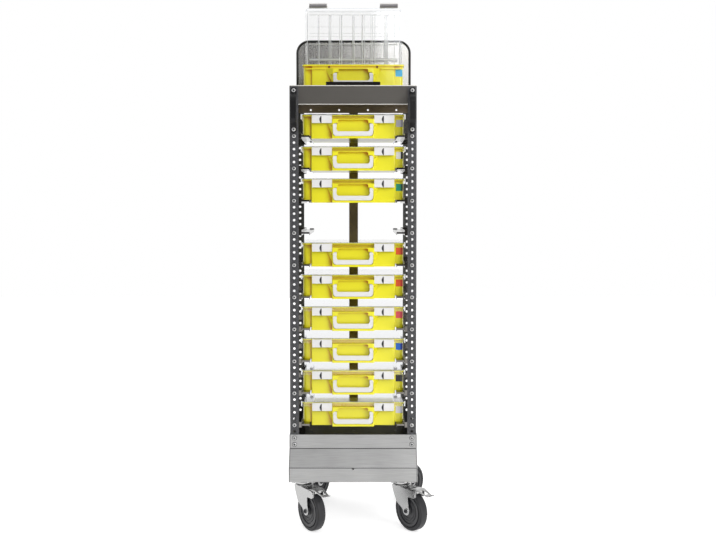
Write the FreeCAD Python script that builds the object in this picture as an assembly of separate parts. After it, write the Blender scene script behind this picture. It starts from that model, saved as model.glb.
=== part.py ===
import FreeCAD, Part
import math
import os

# Organizer case trolley: a narrow rack of perforated angle posts on four swivel casters. Nine flat
# organizer cases hang on runners in ten levels, one level is empty, and a tenth case stands open on top.
# Millimetres. The origin is on the floor below the middle of the rack, +X right, +Y rear, +Z up.

# Rack
HOLE_PITCH = 20.0
HOLE_WIDTH = 8.0
POST_OUTER_X = 197.0
POST_FLANGE = 28.0
POST_SHEET = 2.0
RACK_HALF_DEPTH = 156.0
POST_TOP = 1384.0
HOLE_COLUMN_X = POST_OUTER_X - POST_FLANGE / 2
TOP_LEVEL = 1229.5
LEVEL_COUNT = 10
LEVEL_PITCH = 5 * HOLE_PITCH
EMPTY_LEVEL = 3
ROUND_HOLE_LEVELS = (949.5, 1009.5)

# Base pan, a folded sheet tray whose front and rear slope out over the casters
PAN_HALF_WIDTH = 199.0
PAN_SHEET = 2.0
PAN_TOP = 300.0
PAN_FOLD_HIGH = 257.0
PAN_FOLD_LOW = 204.0
PAN_BOTTOM = 159.0
PAN_FLARE = 32.0
PAN_SCREW_LEVELS = (269.5, 289.5)

# Top tray
TRAY_SHEET = 2.0
TRAY_FRONT_BOTTOM = 1327.0
TRAY_SIDE_BOTTOM = 1350.0
TRAY_HEM = 12.0
TRAY_HOLE_XS = (-146.0, -49.0, 49.0, 146.0)
TRAY_HOLE_Z = 1339.0
STOP_HALF_WIDTH = 84.0
STOP_HEIGHT = 9.0
STOP_SHEET = 4.0

# Rear strap, guard hoop and its panel
STRAP_HALF_WIDTH = 15.0
STRAP_BOTTOM = 262.0
HOOP_TUBE = 8.0
HOOP_X = 190.8
HOOP_Y = 148.0
HOOP_TOP = 1571.0
HOOP_BOTTOM = 1345.0
HOOP_CORNER = 40.0
HOOP_CORNER_STEPS = 4
PANEL_SHEET = 1.5

# Grips on the front posts
GRIP_WIDTH = 17.0
GRIP_SCREW_LEVELS = (1249.5, 1369.5)
GRIP_END = 9.5
GRIP_CORNER = 4.0
GRIP_FOOT = 10.0
GRIP_REACH = 38.0
GRIP_BAR = 12.0

# Runners, measured from the screw line of their level
RUNNER_SHEET = 1.5
RUNNER_INNER_X = 135.0
RUNNER_WEB_X = 160.0
RUNNER_TOP = 3.0
RUNNER_BOTTOM = -6.0
RUNNER_WEB_TOP = 9.0
RUNNER_WEB_BOTTOM = -8.0
RUNNER_STOP_TOP = 6.0
RUNNER_STOP_WIDTH = 15.0

# Screws
SCREW_HEAD_WIDTH = 12.5
SCREW_HEAD_HEIGHT = 4.0

# Organizer case. Its own origin is at the middle of the case, under its keel, at the front of the handle.
CASE_HEIGHT = 76.0
CASE_REAR = 232.0
CASE_WALL = 2.0
CASE_HALF_WIDTH = 157.5
CASE_FRONT = 25.0
CASE_CORNER = 12.0
CASE_LEDGE = 9.1
CASE_RIM_TOP = 73.5
CASE_RIM_BOTTOM = 69.0
CASE_RIM_OUT = 3.5
KEEL_HALF_WIDTH = 131.5
KEEL_FRONT = 19.0
BLOCK_HALF_WIDTH = 66.0
BLOCK_TOP = 60.0
WINDOW_HALF_WIDTH = 47.0
POCKET_TOP = 47.5
POCKET_BOTTOM = 6.5
CATCH_BOTTOM = 58.2
CATCH_TOP = 61.5
DIVIDER_XS = (-112.0, -40.0, 38.5, 76.0)
DIVIDER_WALL = 1.6
DIVIDER_TOP = 71.5

LID_HALF_WIDTH = 164.0
LID_FRONT = 10.0
LID_SKIRT_BOTTOM = 60.0
LID_WALL = 2.4
LID_CORNER = 14.0
LID_RIB_DEPTH = 1.6
HINGE_Y = 234.0
HINGE_Z = 70.0
HINGE_RADIUS = 2.2
KNUCKLE_XS = (80.0, 100.0, 120.0)
LID_OPEN_ANGLE = 93.7

BAIL_HALF_WIDTH = 63.0
BAIL_ARM = 16.0
BAIL_BOTTOM = 7.3
BAIL_GRIP_TOP = 25.0
BAIL_FRONT = 1.0
BAIL_THICKNESS = 11.0
BAIL_PIVOT_Z = 40.0
BAIL_CORNER = 13.0
PIN_RADIUS = 2.5
PIN_CLEARANCE = 0.3
KNUCKLE_CLEARANCE = 0.5

LATCH_CENTRE_STORED = 97.0
LATCH_CENTRE_OPEN = 119.5
LATCH_HALF_WIDTH = 31.0
LATCH_PIVOT_Y = 6.5
LATCH_PIVOT_Z = 70.0
LATCH_BARREL = 3.0
LATCH_BOTTOM = 47.5
LATCH_PLATE = 4.0
LATCH_NOTCH = 7.0
LATCH_NOTCH_SHIFT = -4.5
LATCH_HOOK_TOP = 57.8
LATCH_HOOK_REACH = 9.5
LATCH_LUG = 3.0
LATCH_OPEN_ANGLE = 28.0

# Where the cases stand: the front of their handles, and the height of their keels
STORED_CASE_Y = -RACK_HALF_DEPTH + 8.0
KEEL_BELOW_LEVEL = 6.0
OPEN_CASE_Y = -RACK_HALF_DEPTH + 52.0
TRAY_TOP = POST_TOP + TRAY_SHEET

# Casters
CASTER_X = 155.0
CASTER_Y = 120.0
CASTER_OFFSET = 44.0
WHEEL_DIAMETER = 125.0
WHEEL_WIDTH = 32.0
TREAD_WIDTH = 27.0
WHEEL_FACE_RADIUS = 51.0
WHEEL_SIDES = 24
AXLE_RADIUS = 4.0
AXLE_HEAD_RADIUS = 7.5
PLATE_LENGTH = 100.0
PLATE_WIDTH = 80.0
PLATE_SHEET = 4.0
RACE_RADIUS = 30.0
RACE_BOTTOM = 139.0
FORK_TOP = 133.0
FORK_SHEET = 3.0
FORK_GAP = 38.0
FORK_REAR = -26.0
FORK_CROWN_FRONT = 46.0
KINGPIN_RADIUS = 6.0
# Which way each caster trails, in degrees from +X towards +Y
CASTER_TRAILS = {
    "front_left": (-1, -1, -55.5),
    "front_right": (1, -1, -52.0),
    "rear_left": (-1, 1, 54.5),
    "rear_right": (1, 1, 41.0),
}

# Brakes of the front casters. Distances are measured along the trail from the kingpin.
BRAKE_PIN_U = 60.0
BRAKE_PIN_Z = 128.0
BRAKE_PIN_RADIUS = 2.5
BRAKE_HALF_WIDTH = 18.6
BRAKE_SHEET = 1.8


def vector(x, y, z):
    return FreeCAD.Vector(x, y, z)


def block(x0, x1, y0, y1, z0, z1):
    return Part.makeBox(x1 - x0, y1 - y0, z1 - z0, vector(x0, y0, z0))


def sheet(points, depth):
    """A flat outline pushed along a vector."""
    wire = Part.makePolygon(points + [points[0]])
    return Part.Face(wire).extrude(depth)


def outline_yz(points, x0, x1):
    return sheet([vector(x0, y, z) for y, z in points], vector(x1 - x0, 0, 0))


def outline_xz(points, y0, y1):
    return sheet([vector(x, y0, z) for x, z in points], vector(0, y1 - y0, 0))


def regular_points(sides, across_flats):
    radius = across_flats / 2 / math.cos(math.pi / sides)
    angles = [2 * math.pi * (i + 0.5) / sides for i in range(sides)]
    return [(radius * math.cos(a), radius * math.sin(a)) for a in angles]


def prism_along_x(sides, across_flats, x0, x1, y, z):
    points = regular_points(sides, across_flats)
    return outline_yz([(y + a, z + b) for a, b in points], x0, x1)


def prism_along_y(sides, across_flats, x, z, y0, y1):
    points = regular_points(sides, across_flats)
    return outline_xz([(x + a, z + b) for a, b in points], y0, y1)


def prism_along_z(sides, across_flats, x, y, z0, z1):
    points = [vector(x + a, y + b, z0) for a, b in regular_points(sides, across_flats)]
    return sheet(points, vector(0, 0, z1 - z0))


def cornered_box(half_width, y0, y1, z0, z1, corner, steps=1):
    """A box whose four upright edges are rounded, each by flats that lie on the corner's arc."""
    centres = [
        (half_width - corner, y0 + corner, -90),
        (half_width - corner, y1 - corner, 0),
        (-half_width + corner, y1 - corner, 90),
        (-half_width + corner, y0 + corner, 180),
    ]
    step = 90.0 / steps
    points = []
    for x, y, start in centres:
        for i in range(steps + 1):
            angle = math.radians(start + i * step)
            points.append(vector(x + corner * math.cos(angle), y + corner * math.sin(angle), z0))
    return sheet(points, vector(0, 0, z1 - z0))


def fused(shapes):
    return shapes[0].fuse(shapes[1:]).removeSplitter()


def both_sides(shape):
    """A piece on the right and its mirror image on the left."""
    mirrored = shape.mirror(vector(0, 0, 0), vector(1, 0, 0))
    return [shape, mirrored]


def posts():
    """Four angle posts. The front flanges have the row of holes that carries the runners."""
    inner_x = POST_OUTER_X - POST_FLANGE
    front = -RACK_HALF_DEPTH
    floor = PAN_BOTTOM + PAN_SHEET
    angle = [
        vector(inner_x, front, floor),
        vector(POST_OUTER_X, front, floor),
        vector(POST_OUTER_X, front + POST_FLANGE, floor),
        vector(POST_OUTER_X - POST_SHEET, front + POST_FLANGE, floor),
        vector(POST_OUTER_X - POST_SHEET, front + POST_SHEET, floor),
        vector(inner_x, front + POST_SHEET, floor),
    ]
    post = sheet(angle, vector(0, 0, POST_TOP - floor))
    first = TOP_LEVEL - (LEVEL_COUNT - 1) * LEVEL_PITCH
    levels = [first + HOLE_PITCH * i for i in range(-1, (LEVEL_COUNT - 1) * 5) if i % 5]
    cutters = []
    for z in levels:
        if z in ROUND_HOLE_LEVELS:
            centre = vector(HOLE_COLUMN_X, front - 1, z)
            cutters.append(Part.makeCylinder(HOLE_WIDTH / 2, POST_SHEET + 2, centre, vector(0, 1, 0)))
        else:
            cutters.append(prism_along_y(6, HOLE_WIDTH, HOLE_COLUMN_X, z, front - 1, front + POST_SHEET + 1))
    rear_post = post.mirror(vector(0, 0, 0), vector(0, 1, 0))
    return both_sides(post.cut(cutters)) + both_sides(rear_post)


def base_pan():
    front = -RACK_HALF_DEPTH - PAN_SHEET
    out = front - PAN_FLARE
    profile = [
        (front, PAN_TOP),
        (front, PAN_FOLD_HIGH),
        (out, PAN_FOLD_LOW),
        (out, PAN_BOTTOM),
        (-out, PAN_BOTTOM),
        (-out, PAN_FOLD_LOW),
        (-front, PAN_FOLD_HIGH),
        (-front, PAN_TOP),
    ]
    s = PAN_SHEET
    inside = [
        (front + s, PAN_TOP + 1),
        (front + s, PAN_FOLD_HIGH + 0.5),
        (out + s, PAN_FOLD_LOW + 0.5),
        (out + s, PAN_BOTTOM + s),
        (-out - s, PAN_BOTTOM + s),
        (-out - s, PAN_FOLD_LOW + 0.5),
        (-front - s, PAN_FOLD_HIGH + 0.5),
        (-front - s, PAN_TOP + 1),
    ]
    pan = outline_yz(profile, -PAN_HALF_WIDTH, PAN_HALF_WIDTH)
    return [pan.cut(outline_yz(inside, -PAN_HALF_WIDTH + s, PAN_HALF_WIDTH - s))]


def top_tray():
    """The folded top sheet with its deep front, and the strip along its front edge that stops a case."""
    front = -RACK_HALF_DEPTH
    inner_front = front + POST_SHEET
    side = POST_OUTER_X - POST_SHEET
    s = TRAY_SHEET
    pieces = [
        block(-POST_OUTER_X, POST_OUTER_X, front, -front, POST_TOP, TRAY_TOP),
        block(-side, side, inner_front, inner_front + s, TRAY_FRONT_BOTTOM, POST_TOP),
        block(-side, side, inner_front + s, inner_front + TRAY_HEM, TRAY_FRONT_BOTTOM, TRAY_FRONT_BOTTOM + s),
        block(-side, side, -inner_front - s, -inner_front, TRAY_FRONT_BOTTOM + s, POST_TOP),
    ]
    pieces += both_sides(block(side - s, side, inner_front, HOOP_Y - 10, TRAY_SIDE_BOTTOM, POST_TOP))
    tray = fused(pieces)
    cutters = [
        prism_along_y(6, HOLE_WIDTH, x, TRAY_HOLE_Z, -inner_front - s - 1, -inner_front + 1)
        for x in TRAY_HOLE_XS
    ]
    cutters += both_sides(prism_along_z(8, HOOP_TUBE + 0.6, HOOP_X, HOOP_Y, POST_TOP - 1, TRAY_TOP + 1))
    tray = tray.cut(cutters)
    stop_top = TRAY_TOP + STOP_HEIGHT
    stop = block(-STOP_HALF_WIDTH, STOP_HALF_WIDTH, inner_front, inner_front + STOP_SHEET, TRAY_TOP, stop_top)
    return [tray, stop]


def rear_strap():
    y0 = RACK_HALF_DEPTH - POST_SHEET
    return [block(-STRAP_HALF_WIDTH, STRAP_HALF_WIDTH, y0, RACK_HALF_DEPTH, STRAP_BOTTOM, POST_TOP)]


def arch_points(half_width, top, bottom, corner):
    """Up one leg, over the top and down the other leg."""
    points = [(half_width, bottom)]
    step = math.pi / 2 / HOOP_CORNER_STEPS
    for i in range(HOOP_CORNER_STEPS + 1):
        x = half_width - corner + corner * math.cos(i * step)
        z = top - corner + corner * math.sin(i * step)
        points.append((x, z))
    return points + [(-x, z) for x, z in reversed(points)]


def guard_hoop():
    """A tube bent into an arch. Each side of the tube is one flat, mitred at the bends."""
    offsets = regular_points(8, HOOP_TUBE)
    rings = []
    for out, y in offsets:
        arch = arch_points(HOOP_X + out, HOOP_TOP + out, HOOP_BOTTOM, HOOP_CORNER + out)
        rings.append([vector(x, HOOP_Y + y, z) for x, z in arch])
    return [solid_of_rings(rings)]


def solid_of_rings(rings):
    """A solid whose faces join the stations of neighbouring lines, closed by a flat at each end."""
    faces = []
    for line, following in zip(rings, rings[1:] + rings[:1]):
        for i in range(len(line) - 1):
            corners = [line[i], line[i + 1], following[i + 1], following[i]]
            faces.append(Part.Face(Part.makePolygon(corners + [corners[0]])))
    for i in (0, -1):
        end = [line[i] for line in rings]
        faces.append(Part.Face(Part.makePolygon(end + [end[0]])))
    return Part.makeSolid(Part.makeShell(faces))


def guard_panel():
    inset = HOOP_TUBE / 2
    half = HOOP_X - inset
    outline = arch_points(half, HOOP_TOP - inset, TRAY_TOP, HOOP_CORNER - inset)
    y0 = HOOP_Y - PANEL_SHEET / 2
    return [outline_xz(outline, y0, y0 + PANEL_SHEET)]


def runner(level):
    """One folded runner on the right: web, shelf, turned-down edges, and a tab at each end."""
    s = RUNNER_SHEET
    y0 = -RACK_HALF_DEPTH + POST_SHEET
    y1 = RACK_HALF_DEPTH - POST_SHEET
    inner = RUNNER_INNER_X
    web = RUNNER_WEB_X
    low = level + RUNNER_BOTTOM
    top = level + RUNNER_TOP
    tab_low = level + RUNNER_WEB_BOTTOM
    tab_high = level + RUNNER_WEB_TOP
    pieces = [
        block(web, web + s, y0, y1, tab_low, tab_high),
        block(inner, web, y0, y1, top - s, top),
        block(inner, inner + s, y0, y1, low, top),
        block(inner, web, y0, y0 + s, low, top),
        block(web, POST_OUTER_X - POST_SHEET, y0, y0 + s, tab_low, tab_high),
        block(web, POST_OUTER_X - POST_SHEET, y1 - s, y1, tab_low, tab_high),
        block(inner, inner + RUNNER_STOP_WIDTH, y1 - s, y1, top - s, level + RUNNER_STOP_TOP),
    ]
    return fused(pieces)


def runners():
    shapes = []
    for i in range(LEVEL_COUNT):
        shapes += both_sides(runner(TOP_LEVEL - i * LEVEL_PITCH))
    return shapes


def grips():
    """Two bow grips. Each has a bolted foot at both ends, and its bar bows out between the screws."""
    face = -RACK_HALF_DEPTH
    low = GRIP_SCREW_LEVELS[0]
    high = GRIP_SCREW_LEVELS[1]
    foot = face - GRIP_FOOT
    outer = face - GRIP_REACH
    inner = outer + GRIP_BAR
    side = [
        (face, low - GRIP_END),
        (face, low + 13),
        (inner, low + 28),
        (inner, high - 28),
        (face, high - 13),
        (face, high + GRIP_END),
        (foot, high + GRIP_END),
        (foot, high - 7.5),
        (outer, high - 22),
        (outer, low + 22),
        (foot, low + 7.5),
        (foot, low - GRIP_END),
    ]
    half = GRIP_WIDTH / 2
    bow = outline_yz(side, HOLE_COLUMN_X - half, HOLE_COLUMN_X + half)
    ends = low - GRIP_END, high + GRIP_END
    front = []
    for x, z, turn_x, turn_z in ((-1, 0, 1, 1), (1, 0, -1, 1), (1, 1, -1, -1), (-1, 1, 1, -1)):
        corner_x = HOLE_COLUMN_X + x * half
        along_x = (corner_x + turn_x * GRIP_CORNER, ends[z])
        along_z = (corner_x, ends[z] + turn_z * GRIP_CORNER)
        front += [along_z, along_x] if x * turn_z < 0 else [along_x, along_z]
    return both_sides(bow.common(outline_xz(front, outer - 1, face + 1)))


def frame_screws():
    """Hexagon heads along the front: on the posts at each runner, on the pan, and on the grips."""
    face = -RACK_HALF_DEPTH
    heads = []
    for i in range(LEVEL_COUNT):
        heads.append((TOP_LEVEL - i * LEVEL_PITCH, face))
    for z in PAN_SCREW_LEVELS:
        heads.append((z, face - PAN_SHEET))
    shapes = []
    for z, y in heads:
        head = prism_along_y(6, SCREW_HEAD_WIDTH, HOLE_COLUMN_X, z, y - SCREW_HEAD_HEIGHT, y)
        shapes += both_sides(head)
    for z in GRIP_SCREW_LEVELS:
        y = face - GRIP_FOOT
        head = prism_along_y(6, SCREW_HEAD_WIDTH, HOLE_COLUMN_X, z, y - SCREW_HEAD_HEIGHT, y)
        shapes += both_sides(head)
    return shapes


def case_base(latch_centre, dividers, knuckles):
    """The moulded base: a body on a narrower keel, a rim, two catches and the block that holds the handle."""
    w = CASE_WALL
    body = cornered_box(CASE_HALF_WIDTH, CASE_FRONT, CASE_REAR, CASE_LEDGE, CASE_RIM_TOP, CASE_CORNER)
    keel = block(-KEEL_HALF_WIDTH, KEEL_HALF_WIDTH, KEEL_FRONT, CASE_REAR, 0, CASE_RIM_TOP)
    rim = cornered_box(
        CASE_HALF_WIDTH + CASE_RIM_OUT,
        KEEL_FRONT - CASE_RIM_OUT,
        CASE_REAR + 1,
        CASE_RIM_BOTTOM,
        CASE_RIM_TOP,
        CASE_CORNER,
    )
    handle_block = block(-BLOCK_HALF_WIDTH, BLOCK_HALF_WIDTH, 0, KEEL_FRONT, 0, BLOCK_TOP)
    catch = block(
        latch_centre - LATCH_HALF_WIDTH,
        latch_centre + LATCH_HALF_WIDTH,
        KEEL_FRONT - 5,
        CASE_FRONT,
        CATCH_BOTTOM,
        CATCH_TOP,
    )
    shape = fused([body, keel, rim, handle_block] + both_sides(catch))
    cavity = cornered_box(
        CASE_HALF_WIDTH - w, CASE_FRONT + w, CASE_REAR - w, CASE_LEDGE + w, CASE_RIM_TOP + 1, CASE_CORNER - w
    )
    keel_cavity = block(
        -KEEL_HALF_WIDTH + w, KEEL_HALF_WIDTH - w, KEEL_FRONT + w, CASE_REAR - w, w, CASE_RIM_TOP + 1
    )
    back = KEEL_FRONT - w
    pocket_half = BAIL_HALF_WIDTH + PIN_CLEARANCE
    pocket = block(-pocket_half, pocket_half, -1, back, POCKET_BOTTOM, POCKET_TOP)
    window = block(-WINDOW_HALF_WIDTH, WINDOW_HALF_WIDTH, -1, back, POCKET_TOP - 1, BLOCK_TOP - w)
    bore_width = 2 * (PIN_RADIUS + PIN_CLEARANCE)
    pivot_y = BAIL_FRONT + BAIL_THICKNESS / 2
    bore = prism_along_x(4, bore_width, BAIL_HALF_WIDTH, BLOCK_HALF_WIDTH + 1, pivot_y, BAIL_PIVOT_Z)
    shape = shape.cut([cavity, keel_cavity, pocket, window] + both_sides(bore))
    if dividers:
        walls = [
            block(x - DIVIDER_WALL / 2, x + DIVIDER_WALL / 2, KEEL_FRONT + w, CASE_REAR - w, w, DIVIDER_TOP)
            for x in DIVIDER_XS
        ]
        shape = fused([shape] + walls)
    if knuckles:
        shape = shape.cut(both_sides(knuckle(1, HINGE_RADIUS + KNUCKLE_CLEARANCE, PIN_CLEARANCE)))
        shape = fused([shape] + both_sides(knuckle(0, HINGE_RADIUS, 0)))
    return [shape]


def knuckle(place, radius, end_gap):
    """One barrel of the lid's hinge: place 0 belongs to the base, place 1 to the lid."""
    x0 = KNUCKLE_XS[place] - end_gap
    x1 = KNUCKLE_XS[place + 1] + end_gap - PIN_CLEARANCE
    return prism_along_x(6, 2 * radius, x0, x1, HINGE_Y, HINGE_Z)


def case_lid(latch_centre, ribs, knuckles, corner_steps):
    """The clear lid, closed: a plate, a skirt outside the rim, and the lugs that carry the latches."""
    rear = CASE_REAR + 4
    outer = cornered_box(
        LID_HALF_WIDTH,
        LID_FRONT,
        rear,
        LID_SKIRT_BOTTOM,
        CASE_HEIGHT,
        LID_CORNER,
        corner_steps,
    )
    inner = cornered_box(
        LID_HALF_WIDTH - LID_WALL,
        LID_FRONT + LID_WALL,
        rear - LID_WALL,
        LID_SKIRT_BOTTOM - 1,
        CASE_HEIGHT - LID_WALL,
        LID_CORNER - LID_WALL,
        corner_steps,
    )
    gap_top = HINGE_Z + HINGE_RADIUS + KNUCKLE_CLEARANCE
    rear_gap = block(
        -LID_HALF_WIDTH, LID_HALF_WIDTH, rear - LID_CORNER, rear + 1, LID_SKIRT_BOTTOM - 1, gap_top
    )
    shape = outer.cut([inner, rear_gap])
    top = CASE_HEIGHT - LID_WALL
    extras = []
    for x in (latch_centre - LATCH_HALF_WIDTH - LATCH_LUG, latch_centre + LATCH_HALF_WIDTH):
        x0 = x + (PIN_CLEARANCE if x > latch_centre else -PIN_CLEARANCE)
        lug_rear = LID_FRONT + LID_WALL
        lug = block(x0, x0 + LATCH_LUG, LATCH_PIVOT_Y - 3, lug_rear, LATCH_PIVOT_Z - 3.5, CASE_HEIGHT)
        extras += both_sides(lug)
    if ribs:
        inner_front = KEEL_FRONT + CASE_WALL + 2
        extras += [
            block(x - 1.2, x + 1.2, inner_front, CASE_REAR - CASE_WALL - 2, top - LID_RIB_DEPTH, top)
            for x in DIVIDER_XS
        ]
    if knuckles:
        barrel = knuckle(1, HINGE_RADIUS, 0)
        web = block(KNUCKLE_XS[1], KNUCKLE_XS[2] - PIN_CLEARANCE, HINGE_Y, rear, HINGE_Z, top)
        extras += both_sides(fused([barrel, web]))
    return [fused([shape] + extras)]


def case_handle():
    """The bail: two arms and a deep grip bar in one outline, with a pin at the top of each arm."""
    outer = BAIL_HALF_WIDTH
    inner = outer - BAIL_ARM
    top = BAIL_PIVOT_Z + BAIL_THICKNESS / 2
    corner = BAIL_CORNER
    right = [
        (inner - corner / 3, BAIL_GRIP_TOP),
        (inner, BAIL_GRIP_TOP + corner / 3),
        (inner, top),
        (outer, top),
        (outer, BAIL_BOTTOM + corner),
        (outer - corner * 0.3, BAIL_BOTTOM + corner * 0.3),
        (outer - corner, BAIL_BOTTOM),
    ]
    left = [(-x, z) for x, z in reversed(right)]
    y0 = BAIL_FRONT
    y1 = BAIL_FRONT + BAIL_THICKNESS
    bail = outline_xz(right + left, y0, y1)
    pin_width = 2 * PIN_RADIUS * math.cos(math.pi / 4)
    pin = prism_along_x(4, pin_width, outer, outer + 2.4, (y0 + y1) / 2, BAIL_PIVOT_Z)
    shape = fused([bail] + both_sides(pin))
    ends = [e for e in shape.Edges if is_arm_end(e)]
    return [shape.makeChamfer(BAIL_THICKNESS * 0.3, ends)]


def is_arm_end(edge):
    """True for the upper edges of the bail's arms, which turn inside the handle block."""
    box = edge.BoundBox
    at_top = box.ZMin > BAIL_PIVOT_Z + BAIL_THICKNESS / 2 - 0.01
    return at_top and box.XLength > BAIL_ARM / 2


def latch(centre):
    """One closed latch: a barrel in the lid's lugs, a face plate with a finger groove, and a hook behind."""
    x0 = centre - LATCH_HALF_WIDTH
    x1 = centre + LATCH_HALF_WIDTH
    face = LATCH_PIVOT_Y - LATCH_BARREL
    barrel_width = 2 * LATCH_BARREL * math.cos(math.pi / 6)
    barrel = prism_along_x(6, barrel_width, x0, x1, LATCH_PIVOT_Y, LATCH_PIVOT_Z)
    plate = block(x0, x1, face, face + LATCH_PLATE, LATCH_BOTTOM, LATCH_PIVOT_Z)
    hook = block(x0, x1, face, LATCH_PIVOT_Y + LATCH_HOOK_REACH, LATCH_BOTTOM + 2, LATCH_HOOK_TOP)
    notch_x = centre + LATCH_NOTCH_SHIFT - LATCH_NOTCH / 2
    groove = block(
        notch_x, notch_x + LATCH_NOTCH, face - 1, face + 2.2, LATCH_BOTTOM - 1, LATCH_PIVOT_Z - 4
    )
    return fused([barrel, plate, hook]).cut(groove)


def case_latches(centre):
    return [latch(centre), latch(-centre)]


def turned(shapes, angle, y, z):
    """The shapes turned about a line along X, opening towards the front for a positive angle."""
    result = []
    for shape in shapes:
        copy = shape.copy()
        copy.rotate(vector(0, y, z), vector(1, 0, 0), -angle)
        result.append(copy)
    return result


def moved(shapes, y, z):
    result = []
    for shape in shapes:
        copy = shape.copy()
        copy.translate(vector(0, y, z))
        result.append(copy)
    return result


def wheel():
    """The wheel about the X axis through the origin: hub faces, sloping shoulders and tread in flats."""
    h = WHEEL_WIDTH / 2
    profile = [
        (h, WHEEL_FACE_RADIUS),
        (TREAD_WIDTH / 2, WHEEL_DIAMETER / 2),
        (-TREAD_WIDTH / 2, WHEEL_DIAMETER / 2),
        (-h, WHEEL_FACE_RADIUS),
    ]
    step = 2 * math.pi / WHEEL_SIDES
    rings = []
    for i in range(WHEEL_SIDES):
        angle = (i - 0.5) * step
        across = [(x, radius / math.cos(step / 2)) for x, radius in profile]
        rings.append([vector(x, a * math.sin(angle), -a * math.cos(angle)) for x, a in across])
    bore = prism_along_x(8, 2 * (AXLE_RADIUS + PIN_CLEARANCE), -h - 1, h + 1, 0, 0)
    return solid_of_rings(rings).cut(bore)


def caster_placement(name):
    side_x, side_y, angle = CASTER_TRAILS[name]
    place = vector(side_x * CASTER_X, side_y * CASTER_Y, 0)
    return place, angle


def placed_caster(shape, name):
    """Turns a caster piece, modelled with its trail along +Y, to its rest direction, and puts it in place."""
    place, angle = caster_placement(name)
    result = shape.copy()
    result.rotate(vector(0, 0, 0), vector(0, 0, 1), angle - 90)
    result.translate(place)
    return result


def caster_plates():
    """The fixed half of each caster: top plate, ball race and kingpin."""
    w = PLATE_WIDTH / 2
    length = PLATE_LENGTH / 2
    plate_bottom = PAN_BOTTOM - PLATE_SHEET
    plate = block(-w, w, -length, length, plate_bottom, PAN_BOTTOM)
    race = prism_along_z(12, 2 * RACE_RADIUS, 0, 0, RACE_BOTTOM, plate_bottom)
    pin_bottom = FORK_TOP - FORK_SHEET - 4
    pin = prism_along_z(8, 2 * KINGPIN_RADIUS * math.cos(math.pi / 8), 0, 0, pin_bottom, RACE_BOTTOM)
    whole = fused([plate, race, pin])
    shapes = []
    for name in CASTER_TRAILS:
        copy = whole.copy()
        copy.translate(caster_placement(name)[0])
        shapes.append(copy)
    return shapes


def caster_fork(name):
    """The swivelling half: lower race, crown, two cheeks that taper to the axle, and the axle."""
    half = FORK_GAP / 2
    s = FORK_SHEET
    u = CASTER_OFFSET
    z = WHEEL_DIAMETER / 2
    crown = block(-half, half, FORK_REAR, FORK_CROWN_FRONT, FORK_TOP - s, FORK_TOP)
    race = prism_along_z(12, 2 * RACE_RADIUS - 6, 0, 0, FORK_TOP, RACE_BOTTOM - 0.3)
    cheek_points = [
        (FORK_REAR, FORK_TOP),
        (-20, 114),
        (-3, 82),
        (u - 17, z + 4),
        (u - 13, z - 8),
        (u - 5, z - 13.5),
        (u + 5, z - 13),
        (u + 13, z - 6),
        (u + 15, z + 4),
        (u + 9, z + 20),
    ]
    braked = name.startswith("front")
    if braked:
        cheek_points += [(52, 104), (58, 109.5), (84, 109.5), (84, 126), (80, FORK_TOP)]
    else:
        cheek_points += [(52, 118), (FORK_CROWN_FRONT, FORK_TOP)]
    cheek = outline_yz(cheek_points, half, half + s)
    head = 2 * AXLE_HEAD_RADIUS * math.cos(math.pi / 6)
    nut = prism_along_x(6, head, half + s, half + s + 5, u, z)
    axle = prism_along_x(12, 2 * AXLE_RADIUS * math.cos(math.pi / 12), -half, half, u, z)
    pieces = [crown, race, axle] + both_sides(cheek) + both_sides(nut)
    if braked:
        width = 2 * BRAKE_PIN_RADIUS * math.cos(math.pi / 6)
        pieces.append(prism_along_x(6, width, -half, half, BRAKE_PIN_U, BRAKE_PIN_Z))
    bore = prism_along_z(8, 2 * (KINGPIN_RADIUS + PIN_CLEARANCE), 0, 0, FORK_TOP - s - 1, RACE_BOTTOM + 1)
    return [placed_caster(fused(pieces).cut(bore), name)]


def caster_wheel(name):
    shape = wheel()
    shape.translate(vector(0, CASTER_OFFSET, WHEEL_DIAMETER / 2))
    return [placed_caster(shape, name)]


def brake_pedal(name):
    """The brake pedal: a channel that hangs on a pin between the cheeks, and a shoe above the tread."""
    plate_side = [(58, 132), (84, 135.5), (130, 124), (138, 128.5)]
    plate_side += [(137, 130), (130, 126), (84, 138), (58, 134.5)]
    half = BRAKE_HALF_WIDTH
    plate = outline_yz(plate_side, -half, half)
    plate_top = [(58, half), (84, half), (88, 15), (138, 10.5)]
    plate_top += [(u, -v) for u, v in reversed(plate_top)]
    plate = plate.common(sheet([vector(v, u, 100) for u, v in plate_top], vector(0, 0, 50)))
    window = block(-9, 9, 92, 118, 110, 150)
    flange_side = [(55, 131), (55, 125), (64, 112), (78, 110), (84, 111), (84, 135.5), (58, 132)]
    flange = outline_yz(flange_side, half - BRAKE_SHEET, half)
    shoe_side = [(56, 131), (56, 126), (58, 124), (62.5, 124), (78, 122), (80, 124), (80, 134), (58, 133)]
    shoe = outline_yz(shoe_side, -12, 12)
    bore = prism_along_x(6, 2 * BRAKE_PIN_RADIUS + 0.8, -half - 1, half + 1, BRAKE_PIN_U, BRAKE_PIN_Z)
    shape = fused([plate, shoe] + both_sides(flange)).cut([window, bore])
    return [placed_caster(shape, name)]


def write(name, shapes):
    shape = shapes[0] if len(shapes) == 1 else Part.makeCompound(shapes)
    shape.exportStep(os.path.join("parts", name + ".step"))


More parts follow.
